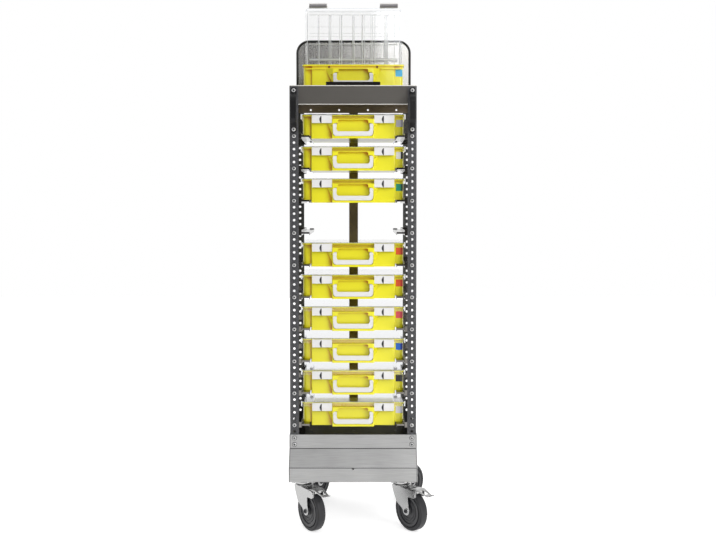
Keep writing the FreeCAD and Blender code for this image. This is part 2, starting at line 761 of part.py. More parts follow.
def build():
    os.makedirs("parts", exist_ok=True)
    write("posts", posts())
    write("base_pan", base_pan())
    write("top_tray", top_tray())
    write("rear_strap", rear_strap())
    write("guard_hoop", guard_hoop())
    write("guard_panel", guard_panel())
    write("runners", runners())
    write("grips", grips())
    write("frame_screws", frame_screws())
    write("caster_plates", caster_plates())

    for name in CASTER_TRAILS:
        write("fork_" + name, caster_fork(name))
        write("wheel_" + name, caster_wheel(name))
        if name.startswith("front"):
            write("brake_pedal_" + name, brake_pedal(name))

    base = case_base(LATCH_CENTRE_STORED, dividers=False, knuckles=False)
    lid = case_lid(LATCH_CENTRE_STORED, ribs=False, knuckles=False, corner_steps=1)
    handle = case_handle()
    latches = case_latches(LATCH_CENTRE_STORED)
    number = 0
    for i in range(LEVEL_COUNT):
        if i == EMPTY_LEVEL:
            continue
        number += 1
        name = "case_%d_" % number
        z = TOP_LEVEL - i * LEVEL_PITCH - KEEL_BELOW_LEVEL
        write(name + "base", moved(base, STORED_CASE_Y, z))
        write(name + "lid", moved(lid, STORED_CASE_Y, z))
        write(name + "handle", moved(handle, STORED_CASE_Y, z))
        write(name + "latches", moved(latches, STORED_CASE_Y, z))

    open_base = case_base(LATCH_CENTRE_OPEN, dividers=True, knuckles=True)
    open_lid = case_lid(LATCH_CENTRE_OPEN, ribs=True, knuckles=True, corner_steps=3)
    open_lid = turned(open_lid, LID_OPEN_ANGLE, HINGE_Y, HINGE_Z)
    open_latches = turned(case_latches(LATCH_CENTRE_OPEN), LATCH_OPEN_ANGLE, LATCH_PIVOT_Y, LATCH_PIVOT_Z)
    open_latches = turned(open_latches, LID_OPEN_ANGLE, HINGE_Y, HINGE_Z)
    write("open_case_base", moved(open_base, OPEN_CASE_Y, TRAY_TOP))
    write("open_case_lid", moved(open_lid, OPEN_CASE_Y, TRAY_TOP))
    write("open_case_handle", moved(handle, OPEN_CASE_Y, TRAY_TOP))
    write("open_case_latches", moved(open_latches, OPEN_CASE_Y, TRAY_TOP))


build()
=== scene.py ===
import math

import bmesh
import bpy
from bpy.props import FloatProperty, FloatVectorProperty, IntProperty, PointerProperty
from mathutils import Matrix, Vector


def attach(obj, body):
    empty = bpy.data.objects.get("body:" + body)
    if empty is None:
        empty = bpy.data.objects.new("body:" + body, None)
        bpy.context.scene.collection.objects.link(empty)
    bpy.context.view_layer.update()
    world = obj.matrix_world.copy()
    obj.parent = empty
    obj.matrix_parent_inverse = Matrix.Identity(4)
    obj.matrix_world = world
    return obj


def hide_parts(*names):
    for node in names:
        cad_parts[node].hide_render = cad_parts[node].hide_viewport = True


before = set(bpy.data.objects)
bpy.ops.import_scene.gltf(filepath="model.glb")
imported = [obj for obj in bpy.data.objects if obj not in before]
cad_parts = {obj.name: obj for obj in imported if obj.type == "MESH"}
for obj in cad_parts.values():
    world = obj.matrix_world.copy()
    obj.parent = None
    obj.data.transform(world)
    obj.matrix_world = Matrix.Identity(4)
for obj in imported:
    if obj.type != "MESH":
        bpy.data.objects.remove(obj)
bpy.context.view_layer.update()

bl_info = {
    "name": "Organizer case trolley",
    "version": (1, 0, 0),
    "blender": (4, 5, 0),
    "location": "View3D > Sidebar > Trolley",
    "description": "Dresses a rack on casters, its organizer cases and the open case on top",
    "category": "Object",
}

# Sizes in millimetres: X to the right, Y to the rear, Z up from the floor

MM = 0.001
FRONT = -156.0
REAR = 156.0
LEVELS = [1229.5 - 100 * i for i in range(10)]
EMPTY_LEVEL = 3
SHEET = 2.0
POST_FOOT = 161.0
POST_HOLES = [309.5 + 20 * i for i in range(48)]
SCREW_X = 183.0
PAN_SCREWS = (269.5, 289.5)
GRIP_SCREWS = (1249.5, 1369.5)
TRAY_LOW = 1384.0
TRAY_TOP = 1386.0
TRAY_HALF = 197.0
SKIRT_HALF = 195.0
PAN_HALF = 199.0
PAN_TOP = 300.0
PAN_BENDS = (257.0, 204.0)
HOOP_X = 190.8
HOOP_Y = 148.0

# Each caster's kingpin, and the direction in degrees in which its wheel trails
CASTERS = {
    "front_left": (-155, -120, -55.5),
    "front_right": (155, -120, -52.0),
    "rear_left": (-155, 120, 54.5),
    "rear_right": (155, 120, 41.0),
}

# How far the axle trails the kingpin, and its height. The fork's cheeks stand either side of the wheel
AXLE = (44.0, 62.5)
FORK_HALF = 19.0
FORK_SHEET = 3.0

# Sizes of a case from the foot of its front, in the middle. A pivot is its Y and Z
BLOCK_HALF = 66.0
KEEL_HALF = 131.5
BASE_HALF = 157.5
RIM_HALF = 161.0
LID_HALF = 164.0
BASE_TOP = 73.5
LID_TOP = 76.0
SHELL = 2.0
STORED_LATCH = 97.0
OPEN_LATCH = 119.5
LATCH_HALF = 31.0
HINGE = (234.0, 70.0)
BAIL_PIVOT = (6.5, 40.0)
LATCH_PIVOT = (6.5, 70.0)
LID_REST = 93.7
LATCH_REST = 28.0
WALLS = (-112, -40, 38.5, 76)
STUD = (76.0, 66.4)

# How much finer the streaks of brushed sheet are along X, Y and Z
ACROSS = (1.2, 40.0, 55.0)
FINE_ACROSS = (1.2, 40.0, 75.0)
LENGTHWISE = (55.0, 1.2, 55.0)
UPRIGHT = (55.0, 40.0, 1.2)
LONG_UPRIGHT = (45.0, 40.0, 0.5)
EVEN = (9.0, 9.0, 9.0)


# Shapes, all in millimetres until they become a mesh


def filled(points, axis, low, high):
    """A closed solid: an outline of the other two axes, in their order, pushed along one axis."""
    bm = bmesh.new()
    place = {
        "X": lambda a, b, t: (t, a, b),
        "Y": lambda a, b, t: (a, t, b),
        "Z": lambda a, b, t: (a, b, t),
    }[axis]
    bottom = [bm.verts.new(place(a, b, low)) for a, b in points]
    top = [bm.verts.new(place(a, b, high)) for a, b in points]
    bm.faces.new(bottom)
    bm.faces.new(list(reversed(top)))
    for i in range(len(points)):
        j = (i + 1) % len(points)
        bm.faces.new((bottom[j], bottom[i], top[i], top[j]))
    bmesh.ops.recalc_face_normals(bm, faces=bm.faces)
    return bm


def slab(x0, x1, y0, y1, z0, z1):
    return filled([(x0, y0), (x1, y0), (x1, y1), (x0, y1)], "Z", z0, z1)


def round_rect(x0, x1, y0, y1, corner, steps=6):
    """The outline of a rectangle with an arc of some steps at each corner."""
    centres = [(x1 - corner, y0 + corner, -90), (x1 - corner, y1 - corner, 0)]
    centres += [(x0 + corner, y1 - corner, 90), (x0 + corner, y0 + corner, 180)]
    points = []
    for x, y, start in centres:
        for i in range(steps + 1):
            a = math.radians(start + 90 * i / steps)
            points.append((x + corner * math.cos(a), y + corner * math.sin(a)))
    return points


def disc(radius, sides):
    angles = [2 * math.pi * i / sides for i in range(sides)]
    return [(radius * math.cos(a), radius * math.sin(a)) for a in angles]


def rod(radius, sides, axis, low, high, x=0.0, y=0.0, z=0.0):
    """A round bar along one axis, moved to its place."""
    return put(filled(disc(radius, sides), axis, low, high), x, y, z)


def rounded_line(points, bend, steps=4):
    """The line with each inner corner replaced by an arc."""
    line = [Vector(points[0])]
    for before, corner, after in zip(points, points[1:], points[2:]):
        corner = Vector(corner)
        back = Vector(before) - corner
        ahead = Vector(after) - corner
        reach = min(bend, back.length * 0.45, ahead.length * 0.45)
        start = corner + back.normalized() * reach
        end = corner + ahead.normalized() * reach
        for i in range(steps + 1):
            t = i / steps
            line.append(start * (1 - t) ** 2 + corner * 2 * t * (1 - t) + end * t * t)
    line.append(Vector(points[-1]))
    return line


def folded(points, thickness, bend):
    """The outline of sheet metal folded along a line, with round bends."""
    line = rounded_line(points, bend)
    left, right = [], []
    for before, p, after in zip(line[:1] + line, line, line[1:] + line[-1:]):
        direction = (after - p).normalized() + (p - before).normalized()
        normal = Vector((-direction.y, direction.x)).normalized() * thickness / 2
        left.append(p + normal)
        right.append(p - normal)
    return left + right[::-1]


def spun(profile, sides, axis="Z"):
    """A ring-shaped solid: a closed profile of (radius, height) turned about an axis."""
    bm = bmesh.new()
    rings = []
    for i in range(sides):
        a = 2 * math.pi * i / sides
        c, s = math.cos(a), math.sin(a)
        ring = [(r * c, r * s, h) if axis == "Z" else (h, r * c, r * s) for r, h in profile]
        rings.append([bm.verts.new(place) for place in ring])
    for ring, following in zip(rings, rings[1:] + rings[:1]):
        for j in range(len(profile)):
            k = (j + 1) % len(profile)
            bm.faces.new((ring[j], following[j], following[k], ring[k]))
    bmesh.ops.remove_doubles(bm, verts=bm.verts, dist=0.001)
    bmesh.ops.recalc_face_normals(bm, faces=bm.faces)
    return bm


def tube_along(points, radius, sides):
    """A round bar along a line, closed at both ends."""
    bm = bmesh.new()
    line = [Vector(p) for p in points]
    rings = []
    side = None
    for before, p, after in zip(line[:1] + line, line, line[1:] + line[-1:]):
        direction = (after - before).normalized()
        if side is None:
            side = direction.orthogonal().normalized()
        side = (side - direction * side.dot(direction)).normalized()
        up = direction.cross(side)
        ring = [p + side * a + up * b for a, b in disc(radius, sides)]
        rings.append([bm.verts.new(place) for place in ring])
    for ring, following in zip(rings, rings[1:]):
        for j in range(sides):
            k = (j + 1) % sides
            bm.faces.new((ring[j], ring[k], following[k], following[j]))
    bm.faces.new(list(reversed(rings[0])))
    bm.faces.new(rings[-1])
    bmesh.ops.recalc_face_normals(bm, faces=bm.faces)
    return bm


def joined(parts):
    """Several closed solids in one mesh."""
    whole = bmesh.new()
    for part in parts:
        scratch = bpy.data.meshes.new("scratch")
        part.to_mesh(scratch)
        whole.from_mesh(scratch)
        part.free()
        bpy.data.meshes.remove(scratch)
    return whole


def mirrored(bm, axis=0):
    """A copy reflected in the plane through the origin."""
    copy = bm.copy()
    for v in copy.verts:
        v.co[axis] = -v.co[axis]
    bmesh.ops.reverse_faces(copy, faces=copy.faces)
    return copy


def pair(bm):
    """The shape and its reflection on the other side."""
    return [bm, mirrored(bm)]


def turned(bm, matrix):
    bmesh.ops.transform(bm, matrix=matrix, verts=bm.verts)
    return bm


def put(bm, x=0.0, y=0.0, z=0.0):
    return turned(bm, Matrix.Translation((x, y, z)))


def linked(name, data):
    """A new object of the scene that holds the data."""
    made = bpy.data.objects.new(name, data)
    bpy.context.scene.collection.objects.link(made)
    return made


def as_object(name, bm):
    """The shape as an object, in metres."""
    mesh = bpy.data.meshes.new(name)
    bmesh.ops.scale(bm, vec=(MM, MM, MM), verts=bm.verts)
    bm.to_mesh(mesh)
    bm.free()
    return linked(name, mesh)


def baked_mesh(made, name):
    """The object's mesh with its modifiers applied. The object itself goes away."""
    bpy.context.view_layer.update()
    graph = bpy.context.evaluated_depsgraph_get()
    mesh = bpy.data.meshes.new_from_object(made.evaluated_get(graph))
    mesh.name = name
    bpy.data.objects.remove(made)
    return mesh


def from_mesh(mesh):
    """A finished mesh as a shape in millimetres again."""
    bm = bmesh.new()
    bm.from_mesh(mesh)
    bmesh.ops.scale(bm, vec=(1 / MM,) * 3, verts=bm.verts)
    return bm


def carved(name, body, fuse=(), cut=(), keep=()):
    """The mesh of a solid with others fused to it or cut from it, or only what it shares with them."""
    made = as_object(name, body)
    helpers = []
    for kind, parts in (("UNION", fuse), ("DIFFERENCE", cut), ("INTERSECT", keep)):
        for part in parts:
            helper = as_object(name + "_helper", part)
            helpers.append(helper)
            modifier = made.modifiers.new(kind.lower(), "BOOLEAN")
            modifier.operation = kind
            modifier.solver = "EXACT"
            modifier.object = helper
    mesh = baked_mesh(made, name)
    for helper in helpers:
        bpy.data.objects.remove(helper)
    return mesh


def smooth_shaded(mesh):
    """The mesh with smooth shading in which its flat faces stay flat."""
    mesh.shade_smooth()
    mesh.set_sharp_from_angle(angle=math.radians(40))
    made = linked(mesh.name, mesh)
    weighted = made.modifiers.new("normals", "WEIGHTED_NORMAL")
    weighted.keep_sharp = True
    return baked_mesh(made, mesh.name)


def softened(mesh, width, segments=2):
    """The mesh with its edges rounded and its shading smooth."""
    made = linked(mesh.name, mesh)
    weld = made.modifiers.new("weld", "WELD")
    weld.merge_threshold = 0.00002
    bevel = made.modifiers.new("edges", "BEVEL")
    bevel.width = width * MM
    bevel.segments = segments
    bevel.limit_method = "ANGLE"
    bevel.angle_limit = math.radians(35)
    bevel.use_clamp_overlap = True
    return smooth_shaded(baked_mesh(made, mesh.name))


def solid_mesh(name, bm, width=0.0, segments=2):
    """The shape as a finished mesh, with its edges rounded where a width is given."""
    made = as_object(name, bm)
    mesh = made.data
    bpy.data.objects.remove(made)
    return softened(mesh, width, segments) if width else smooth_shaded(mesh)


def piece(name, mesh, finish, body, node=None, place=(0, 0, 0), turn=None):
    """Puts a mesh into the scene, rides it on its body and hides the plain solid that it stands for."""
    made = linked(name, mesh)
    made.matrix_world = Matrix.Translation(Vector(place) * MM) @ (turn or Matrix.Identity(4))
    if not mesh.materials:
        mesh.materials.append(finish)
    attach(made, body)
    if node:
        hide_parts(node)


def sheet_piece(name, mesh, finish, node=None):
    """A piece of the rack that is cut from sheet steel."""
    piece(name, mesh, finish, "rack", node)


# Finishes


def srgb(red, green, blue):
    """A colour as a paint chart gives it, 0 to 255, as the linear colour that shaders take."""
    def linear(value):
        c = value / 255
        return c / 12.92 if c <= 0.04045 else ((c + 0.055) / 1.055) ** 2.4

    return (linear(red), linear(green), linear(blue), 1.0)


def toned(colour, factor, lift=0.0):
    """The colour made darker or lighter."""
    return tuple(min(1, c * factor + lift) for c in colour[:3]) + (1,)


class Nodes:
    """Adds and joins the nodes of one tree."""

    def __init__(self, tree):
        self.tree = tree
        self.count = 0

    def add(self, kind, inputs=None, **settings):
        node = self.tree.nodes.new(kind)
        self.count += 1
        node.location = (200 * (self.count % 8), -220 * (self.count // 8))
        for name, value in settings.items():
            setattr(node, name, value)
        self.give(node, inputs or {})
        return node

    def give(self, node, inputs):
        """Links an input of the node where its value is a socket, and otherwise sets it."""
        for name, value in inputs.items():
            if isinstance(value, bpy.types.NodeSocket):
                self.tree.links.new(value, node.inputs[name])
            else:
                node.inputs[name].default_value = value

    def place(self):
        """Where a point lies on its object, in metres."""
        return self.add("ShaderNodeTexCoord").outputs["Object"]

    def along(self, vector, axis):
        return self.add("ShaderNodeSeparateXYZ", {"Vector": vector}).outputs[axis]

    def noise(self, place, scale, **more):
        return self.add("ShaderNodeTexNoise", {"Vector": place, "Scale": scale, **more}).outputs["Fac"]

    def ramp(self, source, stops):
        node = self.add("ShaderNodeValToRGB", {"Fac": source})
        elements = node.color_ramp.elements
        while len(elements) < len(stops):
            elements.new(0.5)
        for element, (position, colour) in zip(elements, stops):
            element.position = position
            element.color = colour
        return node.outputs["Color"]

    def grey_ramp(self, source, stops):
        return self.ramp(source, [(place, (value,) * 3 + (1,)) for place, value in stops])

    def mix(self, factor, first, second, blend="MIX"):
        values = {0: factor, 6: first, 7: second}
        return self.add("ShaderNodeMix", values, data_type="RGBA", blend_type=blend).outputs[2]

    def maths(self, operation, first, second, clamp=False):
        values = {0: first, 1: second}
        return self.add("ShaderNodeMath", values, operation=operation, use_clamp=clamp).outputs[0]

    def scaled(self, value, factor, added):
        return self.maths("ADD", self.maths("MULTIPLY", value, factor), added)

    def vectors(self, operation, first, second=(0, 0, 0)):
        values = {0: first, 1: second}
        return self.add("ShaderNodeVectorMath", values, operation=operation).outputs["Vector"]

    def effect(self, group, **values):
        """A copy of a node group with its own values."""
        return self.add("ShaderNodeGroup", values, node_tree=group).outputs

    def bump(self, height, strength, distance):
        values = {"Strength": strength, "Distance": distance, "Height": height}
        return self.add("ShaderNodeBump", values).outputs["Normal"]


def effect_group(name, inputs, outputs):
    """A new node group, its nodes, what it is given and the node that takes its results."""
    group = bpy.data.node_groups.new(name, "ShaderNodeTree")
    for label, (kind, default) in inputs.items():
        socket = group.interface.new_socket(label, in_out="INPUT", socket_type=kind)
        socket.default_value = default
    for label in outputs:
        group.interface.new_socket(label, in_out="OUTPUT", socket_type="NodeSocketFloat")
    nodes = Nodes(group)
    return group, nodes, nodes.add("NodeGroupInput").outputs, nodes.add("NodeGroupOutput")


def make_grain_group():
    """Fine moulded or rolled grain: a value around one half and the height that goes with it."""
    given = {"Scale": ("NodeSocketFloat", 400.0), "Contrast": ("NodeSocketFloat", 0.3)}
    group, n, given, result = effect_group("Surface grain", given, ("Value", "Height"))
    noise = n.noise(n.place(), given["Scale"], Detail=3.0)
    value = n.scaled(n.maths("SUBTRACT", noise, 0.5), given["Contrast"], 0.5)
    n.give(result, {"Value": value, "Height": noise})
    return group


def make_brushed_group():
    """Long fine streaks along one direction, as rolled and brushed sheet shows."""
    given = {"Stretch": ("NodeSocketVector", (1.0, 1.0, 60.0)), "Strength": ("NodeSocketFloat", 0.2)}
    group, n, given, result = effect_group("Brushed streaks", given, ("Value", "Height"))
    place = n.place()
    streaks = n.noise(n.vectors("MULTIPLY", place, given["Stretch"]), 12.0, Detail=6.0, Roughness=0.65)
    cloud = n.noise(place, 9.0)
    mixed = n.maths("ADD", n.maths("MULTIPLY", streaks, 0.7), n.maths("MULTIPLY", cloud, 0.3))
    value = n.scaled(n.maths("SUBTRACT", mixed, 0.5), given["Strength"], 0.5)
    n.give(result, {"Value": value, "Height": streaks})
    return group


def make_wear_group():
    """A mask along raised edges, broken up by noise, for handling wear."""
    group, n, given, result = effect_group("Edge wear", {"Amount": ("NodeSocketFloat", 0.5)}, ("Mask",))
    edges = n.add("ShaderNodeNewGeometry").outputs["Pointiness"]
    raised = n.add("ShaderNodeMapRange", {"Value": edges, "From Min": 0.52, "From Max": 0.62})
    broken = n.maths("MULTIPLY", raised.outputs["Result"], n.noise(n.place(), 90.0, Detail=4.0))
    n.give(result, {"Mask": n.maths("MULTIPLY", broken, given["Amount"], clamp=True)})
    return group


def blank_material(name):
    """A material with its shader and output, and the nodes to go on with."""
    material = bpy.data.materials.new(name)
    material.use_nodes = True
    material.node_tree.nodes.clear()
    n = Nodes(material.node_tree)
    shader = n.add("ShaderNodeBsdfPrincipled")
    n.add("ShaderNodeOutputMaterial", {"Surface": shader.outputs["BSDF"]})
    return material, n, shader


class Finishes:
    """All finishes of the trolley, made once."""

    def __init__(self, rack, case):
        self.grain = make_grain_group()
        self.brushed = make_brushed_group()
        self.wear = make_wear_group()
        moulded, steel, clear = self.moulded, self.steel, self.clear_moulding
        # The yellow gets painted orange-brown shade in its recesses, as cast by a light from the right
        painted_shade_tone = srgb(206, 126, 0)
        self.yellow = moulded("Yellow moulding", case.body_colour, 0.34, 0.05, 500, coat=0.5, shade=painted_shade_tone)
        self.grey = moulded("Pale grey moulding", case.grip_colour, 0.38, 0.04, 700, coat=0.25)
        # Painted shade for the latches' grooves and hooks: darker on stored cases, lighter on the open one
        self.shadow_grey = moulded("Painted latch shade", srgb(34, 31, 38), 0.5, 0.04, 700)
        self.open_latch_shade = moulded("Lighter painted latch shade", srgb(116, 114, 118), 0.5, 0.05, 700, gloss=0.3)
        self.black = moulded("Black grip moulding", srgb(15, 15, 17), 0.38, 0.08, 900, gloss=0.25)
        self.rubber = moulded("Wheel rubber", srgb(42, 42, 45), 0.5, 0.1, 260, gloss=0.4)
        self.hub = moulded("Wheel hub moulding", srgb(50, 50, 53), 0.34, 0.06, 400)
        self.strip = moulded("Black strip moulding", srgb(15, 12, 12), 0.6, 0.05, 900, gloss=0.1)
        # Brown discs in the small holes of the open case are painted shade
        self.hole_shade_finish = moulded("Painted hole shade", srgb(118, 56, 18), 0.5, 0.05, 500)
        self.black_gloss = moulded("Black gloss enamel", srgb(12, 12, 13), 0.36, 0.03, 300, gloss=0.35)
        self.clear = clear("Clear lid moulding", 0.05, 0.97, metal=1.0)
        self.ridges = clear("Clear lid ridges", 0.72, 0.9)
        self.thick = clear("Clear lid thicker wall", 0.3, 0.9)
        self.enamel = self.speckled("Speckled post enamel", rack.post_colour)
        self.sheet = steel("Brushed tray sheet", rack.sheet_colour, 0.34, ACROSS, 0.5)
        self.panel = steel("Brushed panel sheet", rack.sheet_colour, 0.27, LONG_UPRIGHT, 0.3, relief=0.01)
        self.rail = steel("Bright runner sheet", srgb(118, 115, 111), 0.13, LENGTHWISE, 0.3)
        # Near-white paint on the tray's top and lower edges is a painted highlight
        self.edge = steel("Painted sheet edge highlight", srgb(226, 224, 218), 0.4, ACROSS, 0.3, metal=0.3)
        self.bolt = steel("Bright screw plate", srgb(206, 206, 206), 0.34, EVEN, 0.25, metal=0.5)
        self.fascia = steel("Dull fascia sheet", srgb(87, 84, 80), 0.54, FINE_ACROSS, 1.2, metal=0.4)
        # The warm brown of the strap and the tray skirts is painted shade with yellow bounce light from the
        # cases
        self.strap = steel("Strap sheet with painted shade", srgb(96, 84, 70), 0.5, UPRIGHT, 0.3, metal=0.5)
        self.skirt = steel("Skirt sheet with painted shade", srgb(128, 114, 97), 0.5, ACROSS, 0.4, metal=0.5)
        self.pan = steel("Brushed pan sheet", srgb(164, 164, 164), 0.36, FINE_ACROSS, 1.6, 0.8, 0.35)
        self.zinc = steel("Bright zinc plate", srgb(178, 178, 178), 0.2, EVEN, 0.4)
        # Dark metal of the axle bolts, also used as painted shade in the pan's bends and at the screws
        self.dark_metal_and_shade = steel("Dark fastener metal and painted shade", srgb(70, 70, 72), 0.35, EVEN, 0.2)

    def moulded(self, name, colour, roughness, contrast, scale, coat=0.0, shade=None, gloss=0.5):
        """A moulded plastic. Where a shade tone is given, its recesses take it on as painted shade."""
        material, n, shader = blank_material(name)
        grain = n.effect(self.grain, Scale=scale, Contrast=0.5)
        worn = n.effect(self.wear, Amount=0.5)["Mask"]
        tone = n.mix(grain["Value"], toned(colour, 1 - contrast), toned(colour, 1 + contrast, 0.002))
        if shade:
            tone = n.mix(self.painted_shade_openness(n), shade, tone)
        n.give(shader, {
            "Base Color": n.mix(worn, tone, toned(colour, 1.15, 0.03)),
            "Roughness": n.scaled(grain["Value"], 0.12, roughness - 0.06),
            "Normal": n.bump(grain["Height"], 0.15, 0.0001),
            "Specular IOR Level": gloss,
            "Coat Weight": coat,
            "Coat Roughness": 0.06,
        })
        return material

    def painted_shade_openness(self, n):
        """1 on open faces and 0 in recesses, measured a little towards the right-hand side of each face: the
        mask of painted shade, as if lit from the right.
        """
        lean = (1.4, 0.0, 0.3)
        normal = n.add("ShaderNodeNewGeometry").outputs["Normal"]
        aside = n.vectors("SUBTRACT", lean, n.vectors("PROJECT", lean, normal))
        unit = n.vectors("NORMALIZE", n.vectors("ADD", normal, aside))
        reach = {"Distance": 0.016, "Normal": unit}
        hollow = n.add("ShaderNodeAmbientOcclusion", reach, samples=8, only_local=True)
        return n.grey_ramp(hollow.outputs["AO"], [(0.2, 0), (0.6, 1)])

    def clear_moulding(self, name, facing, edge, metal=0.0):
        """A clear sheet: little of it shows from in front, and at a low angle it is a mirror."""
        material, n, shader = blank_material(name)
        grain = n.effect(self.grain, Scale=60.0, Contrast=0.3)
        view = n.add("ShaderNodeLayerWeight", {"Blend": 0.5}).outputs["Facing"]
        fall = n.maths("MULTIPLY", n.along(n.place(), "Y"), -0.03)
        waves = n.maths("MULTIPLY", grain["Height"], 0.00002)
        n.give(shader, {
            "Base Color": n.mix(grain["Value"], srgb(224, 227, 231), srgb(242, 244, 246)),
            "Roughness": 0.07,
            "Metallic": metal,
            "Alpha": n.grey_ramp(view, ((0.0, facing), (0.45, facing * 1.6), (0.78, edge), (1.0, edge))),
            "Normal": n.bump(n.maths("ADD", fall, waves), 1.0, 1.0),
        })
        return material

    def speckled(self, name, colour):
        """An enamel of mixed dark and pale specks."""
        material, n, shader = blank_material(name)
        place = n.place()
        cells = n.add("ShaderNodeTexVoronoi", {"Vector": place, "Scale": 330.0}).outputs["Distance"]
        fine = n.maths("MULTIPLY", n.noise(place, 520.0, Detail=2.0), 0.6)
        mixed = n.maths("ADD", n.maths("MULTIPLY", cells, 0.6), fine)
        stops = [(0.3, toned(colour, 0.55)), (0.55, toned(colour, 1.0)), (0.8, toned(colour, 1.9, 0.012))]
        worn = n.effect(self.wear, Amount=0.2)["Mask"]
        n.give(shader, {
            "Base Color": n.mix(worn, n.ramp(mixed, stops), srgb(140, 140, 140)),
            "Metallic": 0.25,
            "Roughness": 0.48,
            "Normal": n.bump(mixed, 0.35, 0.0003),
        })
        return material

    def steel(self, name, colour, roughness, stretch, strength, metal=1.0, contrast=0.18, relief=0.08):
        """Brushed or plated steel, with streaks as strong as given."""
        material, n, shader = blank_material(name)
        streaks = n.effect(self.brushed, Stretch=stretch, Strength=strength)
        n.give(shader, {
            "Base Color": n.mix(streaks["Value"], toned(colour, 1 - contrast), toned(colour, 1 + contrast)),
            "Roughness": n.scaled(streaks["Value"], 0.16, roughness - 0.08),
            "Metallic": metal,
            "Normal": n.bump(streaks["Height"], relief, 0.0001),
        })
        return material

    def label(self, name, left, right):
        """A small printed square with a band of a second tone on its right."""
        material, n, shader = blank_material(name)
        band = n.maths("GREATER_THAN", n.along(n.place(), "X"), 0.004)
        grain = n.effect(self.grain, Scale=900.0, Contrast=0.2)["Value"]
        tone = n.mix(0.3, n.mix(band, left, right), grain, "SOFT_LIGHT")
        n.give(shader, {"Base Color": tone, "Roughness": 0.4})
        return material


kit = {}


def finishes():
    if "finishes" not in kit:
        scene = bpy.context.scene
        kit["finishes"] = Finishes(scene.trolley_rack, scene.trolley_case)
    return kit["finishes"]


# What a user would change


class TROLLEY_RackSettings(bpy.types.PropertyGroup):
    post_colour: FloatVectorProperty(
        name="Post enamel", description="Main tone of the speckled enamel on the posts", subtype="COLOR",
        size=3, min=0, max=1, default=srgb(54, 54, 57)[:3],
    )
    sheet_colour: FloatVectorProperty(
        name="Sheet steel", description="Tone of the brushed sheet of the tray and the guard panel",
        subtype="COLOR", size=3, min=0, max=1, default=srgb(190, 189, 186)[:3],
    )
    hole_diameter: FloatProperty(
        name="Hole diameter", description="Diameter of the round holes in the posts", subtype="DISTANCE",
        unit="LENGTH", default=8 * MM, min=4 * MM, max=14 * MM,
    )
    edge_radius: FloatProperty(
        name="Sheet edge radius", description="Radius of the edges of the folded sheets",
        subtype="DISTANCE", unit="LENGTH", default=0.5 * MM, min=0.1 * MM, max=1 * MM,
    )


class TROLLEY_CaseSettings(bpy.types.PropertyGroup):
    body_colour: FloatVectorProperty(
        name="Case moulding", description="Colour of the case bases", subtype="COLOR", size=3, min=0, max=1,
        default=srgb(240, 232, 30)[:3],
    )
    grip_colour: FloatVectorProperty(
        name="Handles and latches", description="Colour of the bail handles and the latches",
        subtype="COLOR", size=3, min=0, max=1, default=srgb(231, 230, 229)[:3],
    )
    corner_radius: FloatProperty(
        name="Corner radius", description="Radius of the upright corners of the cases", subtype="DISTANCE",
        unit="LENGTH", default=12 * MM, min=4 * MM, max=20 * MM,
    )
    cross_walls: IntProperty(
        name="Loose walls", description="How many loose cross walls stand in each stored case", default=3,
        min=0, max=6,
    )


class TROLLEY_StageSettings(bpy.types.PropertyGroup):
    floor_size: FloatProperty(
        name="Floor", description="Side of the pale floor", subtype="DISTANCE", unit="LENGTH",
        default=14.0, min=2.0, max=40.0,
    )
    key_power: FloatProperty(
        name="Key light", description="Power of the soft light from the right", unit="POWER",
        default=28.0, min=0.0,
    )
    fill_power: FloatProperty(
        name="Fill light", description="Power of the soft light from the left", unit="POWER",
        default=6.0, min=0.0,
    )
    lens: FloatProperty(
        name="Lens", description="Focal length of the camera", unit="CAMERA",
        default=48.02, min=20.0, max=200.0,
    )


# Pieces of the rack


class TROLLEY_OT_posts(bpy.types.Operator):
    """Adds the four angle posts with their round holes"""

    bl_idname = "trolley.posts"
    bl_label = "Posts"

    def execute(self, context):
        radius = context.scene.trolley_rack.hole_diameter / MM / 2
        angle = folded([(169, FRONT + 1), (196, FRONT + 1), (196, FRONT + 28)], SHEET, 3.0)
        front = joined([rod(radius, 20, "Y", FRONT - 3, FRONT + 5, SCREW_X, 0, z) for z in POST_HOLES])
        side = joined([rod(radius, 20, "X", 190, 200, 0, FRONT + 15, z) for z in POST_HOLES])
        post = from_mesh(carved("posts", filled(angle, "Z", POST_FOOT, TRAY_LOW), cut=[front, side]))
        mesh = solid_mesh("posts", joined(pair(post) + pair(mirrored(post, 1))))
        piece("posts_enamelled", mesh, finishes().enamel, "rack", "posts")
        return {"FINISHED"}


